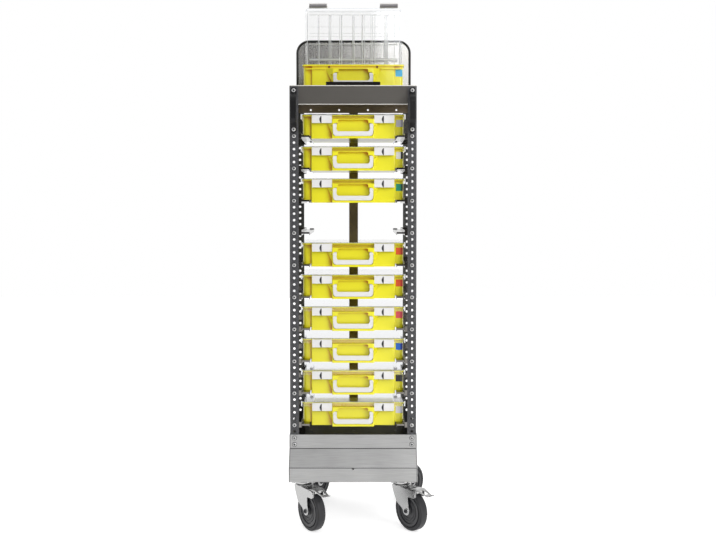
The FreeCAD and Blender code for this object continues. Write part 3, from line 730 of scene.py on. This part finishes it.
class TROLLEY_OT_sheets(bpy.types.Operator):
    """Adds the folded sheets: base pan, top tray, rear strap and runners"""

    bl_idname = "trolley.sheets"
    bl_label = "Folded sheets"

    def execute(self, context):
        edge = context.scene.trolley_rack.edge_radius / MM
        self.add_pan(edge)
        self.add_tray(edge)
        strap = slab(-15, 15, REAR - SHEET, REAR, 262, TRAY_LOW)
        sheet_piece("strap", solid_mesh("strap", strap, edge), finishes().strap, "rear_strap")
        self.add_runners()
        return {"FINISHED"}

    def pan_section(self, front, out, foot):
        """The pan cut through from front to rear: upright at the top, sloping out, upright below."""
        brow, knee = PAN_BENDS
        half = [(front, PAN_TOP), (front, brow), (out, knee), (out, foot)]
        return half + [(-y, z) for y, z in reversed(half)]

    def add_pan(self, edge):
        look = finishes()
        outer, low, inside = FRONT - SHEET, FRONT - 34, PAN_HALF - SHEET
        line = self.pan_section(FRONT - 1, FRONT - 33, 160)
        shell = filled(folded(line, SHEET, 2.5), "X", 0.2 - inside, inside - 0.2)
        sides = pair(filled(self.pan_section(outer, low, 159), "X", inside, PAN_HALF))
        rivets = [rod(4.0, 16, "Y", REAR + 11, REAR + 16, x, 0, 233) for x in (-146, 0, 146)]
        drain = rod(3.2, 20, "Y", -200, FRONT, 0, 0, 201)
        # Dark strips paint the shade in the pan's bends and in its joints with the side plates
        creases, crease_shade_strips = [], []
        for y, z in ((outer, PAN_BENDS[0] - 0.6), (low, PAN_BENDS[1] - 0.4)):
            creases.append(slab(-inside, inside, y - 1.4, y + 0.4, z - 0.9, z + 0.9))
            crease_shade_strips.append(slab(0.2 - inside, inside - 0.2, y + 0.3, y + 0.9, z - 0.9, z + 0.9))
        mesh = carved("pan", shell, fuse=rivets, cut=[drain] + creases)
        sheet_piece("pan_shell", softened(mesh, 0.4, 1), look.pan, "base_pan")
        sheet_piece("pan_sides", solid_mesh("pan_sides", joined(sides), edge), look.pan)
        crease_shade_strips += pair(filled(folded(line, SHEET + 0.1, 2.5), "X", inside - 0.8, inside + 0.2))
        sheet_piece("pan_crease_shade", solid_mesh("pan_crease_shade", joined(crease_shade_strips)), look.dark_metal_and_shade)

    def add_tray(self, edge):
        look = finishes()
        front, rear = FRONT + 3, REAR - 3
        top = slab(-TRAY_HALF, TRAY_HALF, FRONT, REAR, TRAY_LOW, TRAY_TOP)
        eyes = pair(rod(4.3, 20, "Z", 1380, 1390, HOOP_X, HOOP_Y))
        sheet_piece("tray_sheet", softened(carved("tray", top, cut=eyes), edge), look.sheet, "top_tray")
        back = slab(-SKIRT_HALF, SKIRT_HALF, rear - 1, rear + 1, 1329, TRAY_LOW)
        cheeks = pair(slab(SKIRT_HALF - 2, SKIRT_HALF, FRONT + 4, 138, 1350, TRAY_LOW))
        holes = [rod(3.3, 20, "Y", rear - 4, rear + 4, x, 0, 1339) for x in (-146, -49, 49, 146)]
        skirts = carved("tray_skirts", back, fuse=cheeks, cut=holes)
        sheet_piece("tray_skirts", softened(skirts, edge), look.skirt)
        fold = folded([(front, TRAY_LOW), (front, 1328), (front + 9, 1328)], SHEET, 2.0)
        fascia = filled(fold, "X", -SKIRT_HALF, SKIRT_HALF)
        sheet_piece("tray_fascia", solid_mesh("fascia", fascia, 0.4), look.fascia)
        # Bright strips along the fascia's foot and the tray's front edge are painted highlights
        foot = slab(-SKIRT_HALF, SKIRT_HALF, FRONT + 0.6, FRONT + 2.6, 1327, 1329.2)
        brow = slab(-TRAY_HALF, TRAY_HALF, FRONT - 0.4, FRONT + 1.2, TRAY_LOW - 0.1, TRAY_TOP + 0.3)
        sheet_piece("tray_highlight_edges", solid_mesh("tray_highlight_edges", joined([foot, brow]), 0.2, 1), look.edge)
        strip = filled(round_rect(FRONT + 2, FRONT + 6, TRAY_TOP, 1397.5, 1.2, 3), "X", -84, 84)
        mesh = solid_mesh("stop_strip", strip, 0.5)
        piece("tray_stop_strip", mesh, look.strip, "rack")

    def add_runners(self):
        y0, y1, sheet = FRONT + 2, REAR - 2, 1.5
        parts = []
        for z in LEVELS:
            shelf = [(135.75, z - 6), (135.75, z + 2.25), (160.75, z + 2.25), (160.75, z - 8)]
            tab = round_rect(160, 195, z - 8, z + 9, 2.0, 3)
            parts += pair(filled(folded(shelf, sheet, 1.6), "Y", y0, y1))
            parts += pair(slab(160, 160 + sheet, y0, y1, z + 1.5, z + 9))
            parts += pair(slab(135, 160, y0, y0 + sheet, z - 2.5, z + 2))
            parts += pair(filled(tab, "Y", y0, y0 + sheet))
            parts += pair(filled(tab, "Y", y1 - sheet, y1))
            parts += pair(filled(round_rect(135, 150, z - 1, z + 6, 2.0, 3), "Y", y1 - sheet, y1))
        sheet_piece("runner_pairs", solid_mesh("runners", joined(parts), 0.3, 1), finishes().rail, "runners")


class TROLLEY_OT_guard(bpy.types.Operator):
    """Adds the tube hoop behind the open case and the sheet that fills it"""

    bl_idname = "trolley.guard"
    bl_label = "Guard hoop"

    def arch(self, half, top, bottom, corner):
        """The line up one side, round two corners and down the other side."""
        points = [(half, bottom)]
        for i in range(13):
            a = math.pi / 2 * i / 12
            points.append((half - corner + corner * math.cos(a), top - corner + corner * math.sin(a)))
        return points + [(-x, z) for x, z in reversed(points)]

    def execute(self, context):
        look = finishes()
        path = [(x, HOOP_Y, z) for x, z in self.arch(HOOP_X, 1571, 1345, 40)]
        mesh = solid_mesh("hoop", tube_along(path, 4.0, 20))
        piece("hoop_tube", mesh, look.black_gloss, "rack", "guard_hoop")
        sheet = filled(self.arch(187.0, 1567.2, TRAY_TOP, 36), "Y", HOOP_Y - 0.75, HOOP_Y + 0.75)
        sheet_piece("hoop_panel", solid_mesh("panel", sheet, 0.3), look.panel, "guard_panel")
        return {"FINISHED"}


class TROLLEY_OT_grips(bpy.types.Operator):
    """Adds the two bow grips at the top of the front posts"""

    bl_idname = "trolley.grips"
    bl_label = "Bow grips"

    def execute(self, context):
        low, high = GRIP_SCREWS
        x0, x1 = SCREW_X - 8.5, SCREW_X + 8.5
        foot, out, end = FRONT - 10, FRONT - 38, 9.5
        outer = [(FRONT, low - end), (foot, low - end), (foot, low + 8), (out, low + 24)]
        outer += [(out, high - 24), (foot, high - 8), (foot, high + end), (FRONT, high + end)]
        inner = [(FRONT, high - 13), (out + 12, high - 30), (out + 12, low + 30), (FRONT, low + 13)]
        bow = filled(rounded_line(outer, 12, 6) + rounded_line(inner, 12, 5), "X", x0, x1)
        front = filled(round_rect(x0, x1, low - end, high + end, 6, 5), "Y", out - 1, FRONT + 1)
        bow = from_mesh(carved("grip", bow, keep=[front]))
        mesh = solid_mesh("grips", joined(pair(bow)), 2.2, 3)
        piece("grip_bows", mesh, finishes().black, "rack", "grips")
        return {"FINISHED"}


class TROLLEY_OT_fasteners(bpy.types.Operator):
    """Adds the screws: domed heads with a hexagon socket, in front and behind, with painted shade in the
    sockets and round the heads
    """

    bl_idname = "trolley.fasteners"
    bl_label = "Screws"

    def head(self):
        """One head about the Y axis, its top towards -Y."""
        profile = [(0.01, 0), (6.2, 0), (6.2, -1.0), (5.4, -3.0), (4.0, -3.9), (3.1, -3.9), (3.1, -1.6)]
        return turned(spun(profile + [(0.01, -1.6)], 20), Matrix.Rotation(math.radians(-90), 4, "X"))

    def execute(self, context):
        look = finishes()
        places = [(FRONT, z) for z in LEVELS]
        places += [(FRONT - 2, z) for z in PAN_SCREWS]
        places += [(FRONT - 10, z) for z in GRIP_SCREWS]
        heads, backs, painted_screw_shade = [], [], []
        for y, z in places:
            heads += pair(put(self.head(), SCREW_X, y, z))
            if y >= FRONT - 2:
                backs += pair(put(mirrored(self.head(), 1), SCREW_X, -y, z))
            # Dark discs paint the shade at the bottom of each socket and in a ring round each head
            painted_screw_shade += pair(rod(3.2, 6, "Y", y - 1.9, y - 1.5, SCREW_X, 0, z))
            painted_screw_shade += pair(rod(7.4, 20, "Y", y - 0.4, y + 0.5, SCREW_X, 0, z))
        piece("screw_heads", solid_mesh("screws", joined(heads)), look.bolt, "rack", "frame_screws")
        piece("screw_heads_rear", solid_mesh("screws_rear", joined(backs)), look.bolt, "rack")
        piece("screw_shade", solid_mesh("screw_shade_discs", joined(painted_screw_shade)), look.dark_metal_and_shade, "rack")
        return {"FINISHED"}


class TROLLEY_OT_casters(bpy.types.Operator):
    """Adds the casters: plates, forks, wheels and brake pedals"""

    bl_idname = "trolley.casters"
    bl_label = "Casters"

    def wheel_meshes(self):
        """The tyre and the hub, each a half profile of radius and width with its reflection."""
        tyre = [(50.5, 13.0), (52.4, 14.6), (54, 15.0), (57.6, 14.9), (59, 14.2), (59.4, 12.2)]
        tyre += [(61.2, 12.0), (62.4, 10.4), (62.5, 5), (62.5, 0)]
        tyre += [(r, -h) for r, h in reversed(tyre[:-1])] + [(49, -12), (49, 12)]
        hub = [(4.4, 15.6), (11, 16), (12.5, 15.2), (13.5, 13.2), (22, 12.6), (23.4, 14.6), (26, 14.8)]
        hub += [(27.6, 12.4), (31, 12.4), (32, 14), (34.4, 14), (35.6, 12), (39, 12), (40.4, 15.2)]
        hub += [(42, 15.8), (48.2, 16), (49.2, 14), (49.6, 12)]
        hub += [(r, -h) for r, h in reversed(hub)]
        return solid_mesh("tyre", spun(tyre, 64, "X")), solid_mesh("hub", spun(hub, 64, "X"))

    def fork_mesh(self, braked):
        """A fork that trails along +Y: two pressed cheeks, a crown with its ball race, and the axle."""
        half, outside = FORK_HALF, FORK_HALF + FORK_SHEET
        line = [(10, 133), (-26, 133), (-20, 114), (-3, 82), (27, 66.5), (31, 54.5), (39, 49.2)]
        line += [(49, 49.4), (57, 56), (59, 66.5), (53, 82.5)]
        if braked:
            line += [(51, 106), (57, 109.5), (84, 109.5), (84, 126), (78, 133), (30, 133)]
        else:
            line += [(52, 118), (47, 133), (30, 133)]
        parts = pair(filled(rounded_line(line, 7, 4), "X", half, outside))
        parts.append(filled(round_rect(-half - 1, half + 1, -26, 46, 6, 5), "Z", 129.8, 133))
        race = [(8, 132.5), (27, 132.5), (28.5, 134.5), (27.5, 137), (24, 138.7), (8, 138.7)]
        parts.append(spun(race, 40))
        parts.append(rod(4.0, 24, "X", -half, half, 0, *AXLE))
        parts += pair(rod(9.6, 28, "X", outside - 0.5, outside + 1.2, 0, *AXLE))
        if braked:
            parts.append(rod(2.5, 20, "X", -outside - 0.6, outside + 0.6, 0, 60, 128))
        return solid_mesh("fork", joined(parts), 0.8, 2)

    def bolt_mesh(self):
        """The axle's hexagon heads with their sockets."""
        profile = [(3.4, 20), (6.9, 20), (6.9, 25.6), (6.0, 26.6), (3.8, 26.6), (3.4, 26)]
        heads = pair(spun(profile, 6, "X")) + pair(rod(3.6, 6, "X", 21, 23.5))
        return solid_mesh("axle_bolt", joined([put(part, 0, *AXLE) for part in heads]), 0.4, 2)

    def plate(self):
        """A caster's top plate with its race, kingpin and four bolts."""
        race = [(4, 139), (26, 139), (29, 140.5), (30, 143), (30, 147), (27, 150), (27, 155.2), (4, 155.2)]
        parts = [filled(round_rect(-40, 40, -50, 50, 6, 5), "Z", 155, 159), spun(race, 40)]
        parts.append(rod(6.0, 24, "Z", 126, 150))
        return joined(parts + [rod(6.0, 6, "Z", 150, 155, x, y) for x in (-31, 31) for y in (-40, 40)])

    def pedal_mesh(self):
        """A folded plate that narrows towards its lip, with a flange down each side and the shoe below."""
        plate = filled(folded([(58, 133.4), (84, 136.6), (130, 124.8), (137.6, 129.2)], 2.6, 6), "X", -1, 1)
        for v in plate.verts:
            neck = 3.6 * min(max((v.co.y - 84) / 5, 0), 1)
            taper = 4.5 * min(max((v.co.y - 89) / 49, 0), 1)
            v.co.x *= 18.6 - (neck + taper)
        flange = [(70, 133), (57, 131), (55, 124), (64, 112.5), (78, 110), (84, 111), (85, 122), (84, 136)]
        flanges = pair(filled(rounded_line(flange + [(78, 135.4)], 6, 4), "X", 16.8, 18.6))
        shoe = [(56, 131), (56, 126), (58, 124), (62.5, 124), (78, 122), (82, 124), (82, 134), (58, 133)]
        window = filled(round_rect(-9, 9, 92, 118, 5, 4), "Z", 100, 150)
        mesh = carved("pedal", plate, fuse=flanges + [filled(shoe, "X", -12, 12)], cut=[window])
        return softened(mesh, 0.7, 2)

    def execute(self, context):
        look = finishes()
        tyre, hub = self.wheel_meshes()
        forks = {braked: self.fork_mesh(braked) for braked in (True, False)}
        pedal, bolts = self.pedal_mesh(), self.bolt_mesh()
        plates = []
        for name, (x, y, angle) in CASTERS.items():
            plates.append(put(self.plate(), x, y))
            turn = Matrix.Rotation(math.radians(angle - 90), 4, "Z")
            foot = (x, y, 0)
            axle = Vector(foot) + turn.to_3x3() @ Vector((0, *AXLE))
            fork, wheel, brake = "fork_" + name, "wheel_" + name, "brake_pedal_" + name
            braked = name.startswith("front")
            piece("axle_bolts_" + name, bolts, look.dark_metal_and_shade, fork, None, foot, turn)
            piece("fork_pressing_" + name, forks[braked], look.zinc, fork, fork, foot, turn)
            piece("tyre_" + name, tyre, look.rubber, wheel, wheel, axle, turn)
            piece("hub_" + name, hub, look.hub, wheel, None, axle, turn)
            if braked:
                piece("pedal_plate_" + name, pedal, look.zinc, brake, brake, foot, turn)
        mesh = solid_mesh("caster_plates", joined(plates), 0.7, 2)
        piece("caster_top_plates", mesh, look.zinc, "rack", "caster_plates")
        return {"FINISHED"}


# Pieces of the cases


def case_places():
    """Body name, the case's own origin, and whether it is the open one."""
    stored = [z for i, z in enumerate(LEVELS) if i != EMPTY_LEVEL]
    rows = [("case_%d" % (i + 1), (0, FRONT + 8, z - 6), False) for i, z in enumerate(stored)]
    return rows + [("open_case", (0, FRONT + 52, TRAY_TOP), True)]


def opened(angle, pivot):
    """The turn of a lid or latch about a line along X, towards the front and up."""
    y, z = pivot[0] * MM, pivot[1] * MM
    turn = Matrix.Rotation(math.radians(-angle), 4, "X")
    return Matrix.Translation((0, y, z)) @ turn @ Matrix.Translation((0, -y, -z))


class TROLLEY_OT_case_bases(bpy.types.Operator):
    """Adds the yellow mouldings of all cases, with their inner walls"""

    bl_idname = "trolley.case_bases"
    bl_label = "Case bases"

    def shell(self, latch, corner):
        """The moulding: a body with a keel below, a rim, and a centre block that holds the handle."""
        body = filled(round_rect(-BASE_HALF, BASE_HALF, 25, 232, corner), "Z", 9.1, BASE_TOP)
        keel = filled(round_rect(-KEEL_HALF, KEEL_HALF, 19, 231.9, 4, 3), "Z", 0, BASE_TOP - 0.1)
        rim = filled(round_rect(-RIM_HALF, RIM_HALF, 15.5, 233, corner), "Z", 69, BASE_TOP)
        block = filled(round_rect(-BLOCK_HALF, BLOCK_HALF, 0, 24, 4, 3), "Z", 0, 59.8)
        catches = pair(slab(latch - LATCH_HALF, latch + LATCH_HALF, 14, 24, 58.2, 61.5))
        ribs = pair(slab(BLOCK_HALF - 1.5, BLOCK_HALF + 0.5, 10, 20, 0.4, 59.6))
        half = BASE_HALF - SHELL
        cavity = round_rect(-half, half, 25 + SHELL, 232 - SHELL, corner - SHELL)
        cavity = filled(cavity, "Z", 9.1 + SHELL, 80)
        half = KEEL_HALF - SHELL
        well = filled(round_rect(-half, half, 19 + SHELL, 231.9 - SHELL, 3, 3), "Z", SHELL, 79)
        pocket = filled(round_rect(-63.3, 63.3, 6.5, 47.5, 9, 5), "Y", -5, 17)
        window = filled(round_rect(-47, 47, 40, 58, 5, 4), "Y", -5, 17)
        bores = pair(rod(2.8, 16, "X", 60, 70, 0, *BAIL_PIVOT))
        studs = pair(rod(3.4, 16, "Y", 10, 19.6, STUD[0], 0, STUD[1]))
        whole = [keel, rim, block] + catches + ribs + self.cheeks(60 if latch == OPEN_LATCH else 47)
        return carved("case_base", body, fuse=whole, cut=[cavity, well, pocket, window] + bores + studs)

    def cheeks(self, top):
        """The slanted faces beside the centre block, widest at their top."""
        reach = BLOCK_HALF + 22 * (top - 14) / 46
        bm = bmesh.new()
        corners = [(65, 1.5, top), (65, 20, top), (reach, 20, top), (65, 20, 14), (65, 9, 14)]
        a, b, c, d, e = [bm.verts.new(corner) for corner in corners]
        for face in ((a, b, c), (b, d, c), (a, e, d, b), (a, c, e), (c, d, e)):
            bm.faces.new(face)
        bmesh.ops.recalc_face_normals(bm, faces=bm.faces)
        return pair(bm)

    def walls(self, loose):
        """The fixed walls from front to rear, and loose ones across between them."""
        parts = [slab(x - 0.8, x + 0.8, 21, 230, 2, 71.5) for x in WALLS]
        edges = [-129, *WALLS, 129]
        for i, (a, b) in enumerate(zip(edges, edges[1:])):
            for k in range(loose if i in (1, 2) else max(loose - 1, 0)):
                y = 21 + 209 * (k + 1) / (loose + 1 + (i % 2) * 0.35)
                parts.append(slab(a + 1, b - 1, y - 0.7, y + 0.7, 2, 66))
        return joined(parts)

    def execute(self, context):
        settings = context.scene.trolley_case
        corner = settings.corner_radius / MM
        look = finishes()
        stored = softened(self.shell(STORED_LATCH, corner), 0.8, 2)
        open_shell = softened(self.shell(OPEN_LATCH, corner), 0.8, 2)
        walls = solid_mesh("case_walls", self.walls(settings.cross_walls), 0.4, 1)
        few_walls = solid_mesh("case_walls_fixed", self.walls(0), 0.4, 1)
        hinge = solid_mesh("hinge_base", joined(pair(rod(2.1, 20, "X", 80, 99.7, 0, *HINGE))), 0.3, 1)
        # Discs at the bottom of the two small holes paint the shade inside them
        pins = pair(rod(3.2, 16, "Y", 16.4, 20, STUD[0], 0, STUD[1]))
        studs = solid_mesh("case_studs", joined(pins), 0.3, 1)
        for body, place, is_open in case_places():
            parts = [("_moulding", open_shell if is_open else stored, look.yellow, body + "_base")]
            parts.append(("_walls", few_walls if is_open else walls, look.yellow, None))
            if is_open:
                parts += [("_hinge_barrels", hinge, look.yellow, None), ("_studs", studs, look.hole_shade_finish, None)]
            for name, mesh, finish, node in parts:
                piece(body + name, mesh, finish, body, node, place)
        return {"FINISHED"}


class TROLLEY_OT_case_lids(bpy.types.Operator):
    """Adds the clear lids: nine closed, one open against the hoop"""

    bl_idname = "trolley.case_lids"
    bl_label = "Clear lids"

    def lid(self, latch):
        """A shallow tray upside down, cut away at the hinge, with lugs at each latch's ends."""
        sheet = 2.4
        outer = filled(round_rect(-LID_HALF, LID_HALF, 10, 236, 14, 8), "Z", 60, LID_TOP)
        half = LID_HALF - sheet
        inner = round_rect(-half, half, 10 + sheet, 236 - sheet, 14 - sheet, 8)
        inner = filled(inner, "Z", 50, LID_TOP - sheet)
        gap = slab(-170, 170, 222, 240, 50, 72.2)
        lugs = []
        for x in (latch - LATCH_HALF - 3.3, latch + LATCH_HALF + 0.3):
            lugs += pair(filled(round_rect(3.5, 12.4, 66.5, LID_TOP, 2.2, 3), "X", x, x + 3))
        return softened(carved("lid", outer, fuse=lugs, cut=[inner, gap]), 0.7, 2)

    def ribs(self):
        """The ridges under the lid: one row each side of every inner wall, and a frame inside the edge."""
        parts = []
        for x in (-116.6, -47.5, -40.3, -2, 3, 31, 36.5, 59.2, 64.6, 72.7, 138.8):
            parts.append(slab(x - 0.8, x + 0.8, 28, 226, 71.7, 73.8))
        for y in (29, 129, 182, 226):
            parts.append(slab(-150, 150, y - 0.8, y + 0.8, 71.7, 73.8))
        parts.append(slab(-150, 150, 17.2, 18.8, 73.65, 74.6))
        for x in (-156.5, 156.5):
            parts.append(slab(x - 1.0, x + 1.0, 24, 227, 73.65, 74.6))
        for y in (70, 92, 103):
            parts.append(slab(-150, 150, y - 0.5, y + 0.5, 72.8, 73.8))
        return joined(parts)

    def thick_bands(self):
        """The stretches where the sheet of the lid is thicker, beside the ridges and along its foot."""
        bands = ((-121, -118), (-85, -75), (-43, -38), (-4, 1), (26, 31), (103, 118))
        parts = [slab(low, high, 30, 222, 72.6, 73.9) for low, high in bands]
        return joined(parts + [slab(-150, 150, 177, 187, 72.8, 73.8)])

    def execute(self, context):
        look = finishes()
        stored, opened_lid = self.lid(STORED_LATCH), self.lid(OPEN_LATCH)
        ribs = solid_mesh("lid_ribs", self.ribs(), 0.3, 1)
        bands = solid_mesh("lid_bands", self.thick_bands(), 0.4, 2)
        barrels = pair(rod(2.2, 20, "X", 100, 119.7, 0, *HINGE))
        barrels += pair(slab(100, 119.7, HINGE[0], HINGE[0] + 2, HINGE[1], 73.7))
        hinge = solid_mesh("hinge_lid", joined(barrels), 0.3, 1)
        for body, place, is_open in case_places():
            turn = opened(LID_REST, HINGE) if is_open else None
            rider = "open_case_lid" if is_open else body
            parts = [("_lid_moulding", opened_lid if is_open else stored, look.clear, body + "_lid")]
            parts += [("_lid_ribs", ribs, look.ridges, None), ("_lid_bands", bands, look.thick, None)]
            if is_open:
                parts.append(("_lid_barrels", hinge, look.clear, None))
            for name, mesh, finish, node in parts:
                piece(body + name, mesh, finish, rider, node, place, turn)
        return {"FINISHED"}


class TROLLEY_OT_case_handles(bpy.types.Operator):
    """Adds the bail handles and the latches of all cases"""

    bl_idname = "trolley.case_handles"
    bl_label = "Handles and latches"

    def bail(self):
        """A bow with rounded corners, an eye at the top of each arm and a pin in each eye."""
        outer = [(61, 45.5), (63, 30), (61, 7.3), (-61, 7.3), (-63, 30), (-61, 45.5)]
        inner = [(-51.5, 45.5), (-53, 34), (-50, 21.6), (50, 21.6), (53, 34), (51.5, 45.5)]
        bow = filled(rounded_line(outer, 20, 8) + rounded_line(inner, 13, 6), "Y", 1.2, 11.8)
        eyes = pair(rod(6.4, 20, "X", 51.5, 62.6, 0, *BAIL_PIVOT))
        pins = pair(rod(2.5, 16, "X", 62, 65.4, 0, *BAIL_PIVOT))
        return softened(carved("bail", bow, fuse=eyes + pins), 3.2, 4)

    def latch(self, centre):
        """One latch. Its finger groove is curved on the left, and straight on the right beside a rim."""
        x0, x1 = centre - LATCH_HALF, centre + LATCH_HALF
        plate = filled(round_rect(3.5, 7.5, 47.5, 72, 1.6, 3), "X", x0, x1)
        barrel = rod(3.0, 20, "X", x0, x1, 0, *LATCH_PIVOT)
        hook = filled(round_rect(5, 16, 49.5, 57.8, 1.5, 3), "X", x0, x1)
        groove = [(centre - 1.4, 69.5)]
        for i in range(13):
            groove.append((centre - 3.5 - 4.6 * math.sin(math.pi * i / 12), 69.5 - 22 * i / 12))
        notch = filled(groove + [(centre - 1.4, 47.5)], "Y", 0, 6.4)
        rim = filled(round_rect(1.8, 5, 48, 68.5, 1.5, 4), "X", centre - 1.2, centre + 0.6)
        return from_mesh(softened(carved("latch", plate, fuse=[barrel, hook, rim], cut=[notch]), 0.6, 2))

    def insert(self, centre):
        """Painted shade: a dark bottom in a latch's groove, and dark ribs along its hook."""
        parts = [slab(centre - 8.4, centre - 1.3, 6.0, 6.7, 47.9, 69)]
        for low in (8.2, 12.4):
            parts.append(slab(centre - 29.5, centre + 29.5, low, low + 3.7, 49.3, 57.6))
        return joined(parts)

    def execute(self, context):
        look = finishes()
        bail = self.bail()
        latches, inserts = {}, {}
        for c in (STORED_LATCH, OPEN_LATCH):
            latches[c] = solid_mesh("latches", joined([self.latch(-c), self.latch(c)]))
            inserts[c] = solid_mesh("latch_insert", joined([self.insert(-c), self.insert(c)]), 0.2, 1)
        for body, place, is_open in case_places():
            turn = opened(LID_REST, HINGE) @ opened(LATCH_REST, LATCH_PIVOT) if is_open else None
            # The inserts paint shade on the latches, lighter on the open case
            tone = look.open_latch_shade if is_open else look.shadow_grey
            c = OPEN_LATCH if is_open else STORED_LATCH
            handle, rider = body + "_handle", body + "_latches"
            piece(body + "_bail", bail, look.grey, handle, handle, place)
            piece(body + "_latch_pair", latches[c], look.grey, rider, rider, place, turn)
            piece(body + "_latch_inserts", inserts[c], tone, rider, None, place, turn)
        return {"FINISHED"}


class TROLLEY_OT_labels(bpy.types.Operator):
    """Adds the small coloured square at the right of each case"""

    bl_idname = "trolley.labels"
    bl_label = "Labels"

    def execute(self, context):
        black, orange, blue = (30, 30, 32), (235, 90, 40), (90, 190, 240)
        tones = [
            ((190, 188, 200), (150, 148, 160)),
            ((236, 236, 236), black),
            ((20, 150, 120), (10, 70, 60)),
            (orange, (190, 70, 40)),
            (orange, (200, 60, 40)),
            ((235, 90, 100), (200, 70, 80)),
            ((40, 110, 220), (30, 60, 150)),
            (black, (60, 60, 62)),
            ((226, 224, 236), (190, 190, 200)),
            (blue, blue),
        ]
        for (body, (x, y, z), _), (left, right) in zip(case_places(), tones):
            card = filled(round_rect(-11, 11, -11, 11, 1.5, 3), "Y", -0.4, 0.4)
            mesh = solid_mesh("label_" + body, card, 0.15, 1)
            material = finishes().label("Label " + body.replace("_", " "), srgb(*left), srgb(*right))
            piece(body + "_label", mesh, material, body, None, (x + 145, y + 25, z + 48))
        return {"FINISHED"}


# The stage, in metres


class TROLLEY_OT_stage(bpy.types.Operator):
    """Adds the pale floor, the soft lights, the world and the camera"""

    bl_idname = "trolley.stage"
    bl_label = "Stage"

    def lamp(self, name, place, target, size, power, tint=(1, 1, 1)):
        """A soft rectangular light that faces its target."""
        data = bpy.data.lights.new(name, "AREA")
        data.shape = "RECTANGLE"
        data.size, data.size_y = size
        data.energy = power
        data.color = tint
        made = linked(name, data)
        made.location = place
        made.rotation_euler = (Vector(target) - Vector(place)).to_track_quat("-Z", "Y").to_euler()

    def floor(self, size):
        """A floor that shows white and keeps the shadow of the trolley."""
        bm = bmesh.new()
        bmesh.ops.create_grid(bm, x_segments=8, y_segments=8, size=size / 2 / MM)
        made = as_object("floor", bm)
        material, n, shader = blank_material("Pale floor")
        rays = n.add("ShaderNodeLightPath").outputs
        bounced = n.maths("MAXIMUM", rays["Is Glossy Ray"], rays["Is Transmission Ray"])
        seen = n.maths("MAXIMUM", rays["Is Camera Ray"], bounced)
        n.give(shader, {
            "Base Color": (0.8, 0.8, 0.8, 1),
            "Roughness": 0.9,
            "Specular IOR Level": 0.1,
            "Emission Color": (1, 1, 1, 1),
            "Emission Strength": n.maths("MULTIPLY", seen, 0.58),
        })
        made.data.materials.append(material)

    def world(self):
        """A room that is bright behind and above and dim in front, and shows white itself."""
        world = bpy.data.worlds.new("Studio")
        bpy.context.scene.world = world
        world.use_nodes = True
        world.node_tree.nodes.clear()
        n = Nodes(world.node_tree)
        room = n.add("ShaderNodeTexCoord").outputs["Generated"]
        depth = n.scaled(n.along(room, "Y"), 0.5, 0.5)
        behind = n.grey_ramp(depth, [(0.0, 0.1), (0.45, 0.24), (0.62, 1)])
        above = n.grey_ramp(n.along(room, "Z"), [(0.4, 0), (0.7, 0.9)])
        lit = n.add("ShaderNodeBackground", {"Color": n.mix(1.0, behind, above, "LIGHTEN")})
        shown = n.add("ShaderNodeBackground", {"Color": (1, 1, 1, 1)})
        rays = n.add("ShaderNodeLightPath").outputs
        direct = n.maths("MAXIMUM", rays["Is Camera Ray"], rays["Is Transmission Ray"])
        values = {"Fac": direct, 1: lit.outputs["Background"], 2: shown.outputs["Background"]}
        blend = n.add("ShaderNodeMixShader", values)
        n.add("ShaderNodeOutputWorld", {"Surface": blend.outputs["Shader"]})

    def camera(self, lens):
        """The photograph's point of view."""
        data = bpy.data.cameras.new("photo_camera")
        data.sensor_width = 36.0
        data.lens = lens
        data.shift_y = -0.0566
        data.clip_end = 100.0
        made = linked("photo_camera", data)
        made.location = (0.0152, -3.118, 1.029)
        made.rotation_euler = (math.radians(90 - 1.71), 0, 0)
        bpy.context.scene.camera = made

    def execute(self, context):
        settings = context.scene.trolley_stage
        self.floor(settings.floor_size)
        self.world()
        key, fill, warm = settings.key_power, settings.fill_power, (1.0, 0.99, 0.98)
        self.lamp("key_right", (1.95, -1.95, 1.95), (0, -0.1, 1.25), (1.0, 1.6), key, warm)
        self.lamp("fill_left", (-2.4, -2.6, 1.3), (0, -0.1, 0.8), (1.6, 2.0), fill)
        self.lamp("card_right", (1.3, -4.0, 2.6), (0.1, 0, 1.45), (2.3, 1.4), 40.0)
        self.lamp("card_low", (1.2, -1.3, 0.2), (0.15, -0.2, 0.22), (0.5, 0.3), 3.5)
        self.camera(settings.lens)
        context.scene.view_settings.view_transform = "Standard"
        return {"FINISHED"}


class TROLLEY_PT_panel(bpy.types.Panel):
    """Lists the settings and the steps that dress the trolley"""

    bl_idname = "TROLLEY_PT_panel"
    bl_label = "Organizer case trolley"
    bl_space_type = "VIEW_3D"
    bl_region_type = "UI"
    bl_category = "Trolley"

    def draw(self, context):
        for group in SETTINGS:
            box = self.layout.box()
            for name in SETTINGS[group].__annotations__:
                box.prop(getattr(context.scene, group), name)
        for step in STEPS:
            self.layout.operator(step.bl_idname)


SETTINGS = {
    "trolley_rack": TROLLEY_RackSettings,
    "trolley_case": TROLLEY_CaseSettings,
    "trolley_stage": TROLLEY_StageSettings,
}
STEPS = (
    TROLLEY_OT_posts,
    TROLLEY_OT_sheets,
    TROLLEY_OT_guard,
    TROLLEY_OT_grips,
    TROLLEY_OT_fasteners,
    TROLLEY_OT_casters,
    TROLLEY_OT_case_bases,
    TROLLEY_OT_case_lids,
    TROLLEY_OT_case_handles,
    TROLLEY_OT_labels,
    TROLLEY_OT_stage,
)
CLASSES = (*SETTINGS.values(), *STEPS, TROLLEY_PT_panel)


def register():
    for cls in CLASSES:
        bpy.utils.register_class(cls)
    for name, group in SETTINGS.items():
        setattr(bpy.types.Scene, name, PointerProperty(type=group))


def unregister():
    for name in SETTINGS:
        delattr(bpy.types.Scene, name)
    for cls in reversed(CLASSES):
        bpy.utils.unregister_class(cls)


def main():
    register()
    for step in STEPS:
        area, name = step.bl_idname.split(".")
        getattr(getattr(bpy.ops, area), name)()


if __name__ == "__main__":
    main()
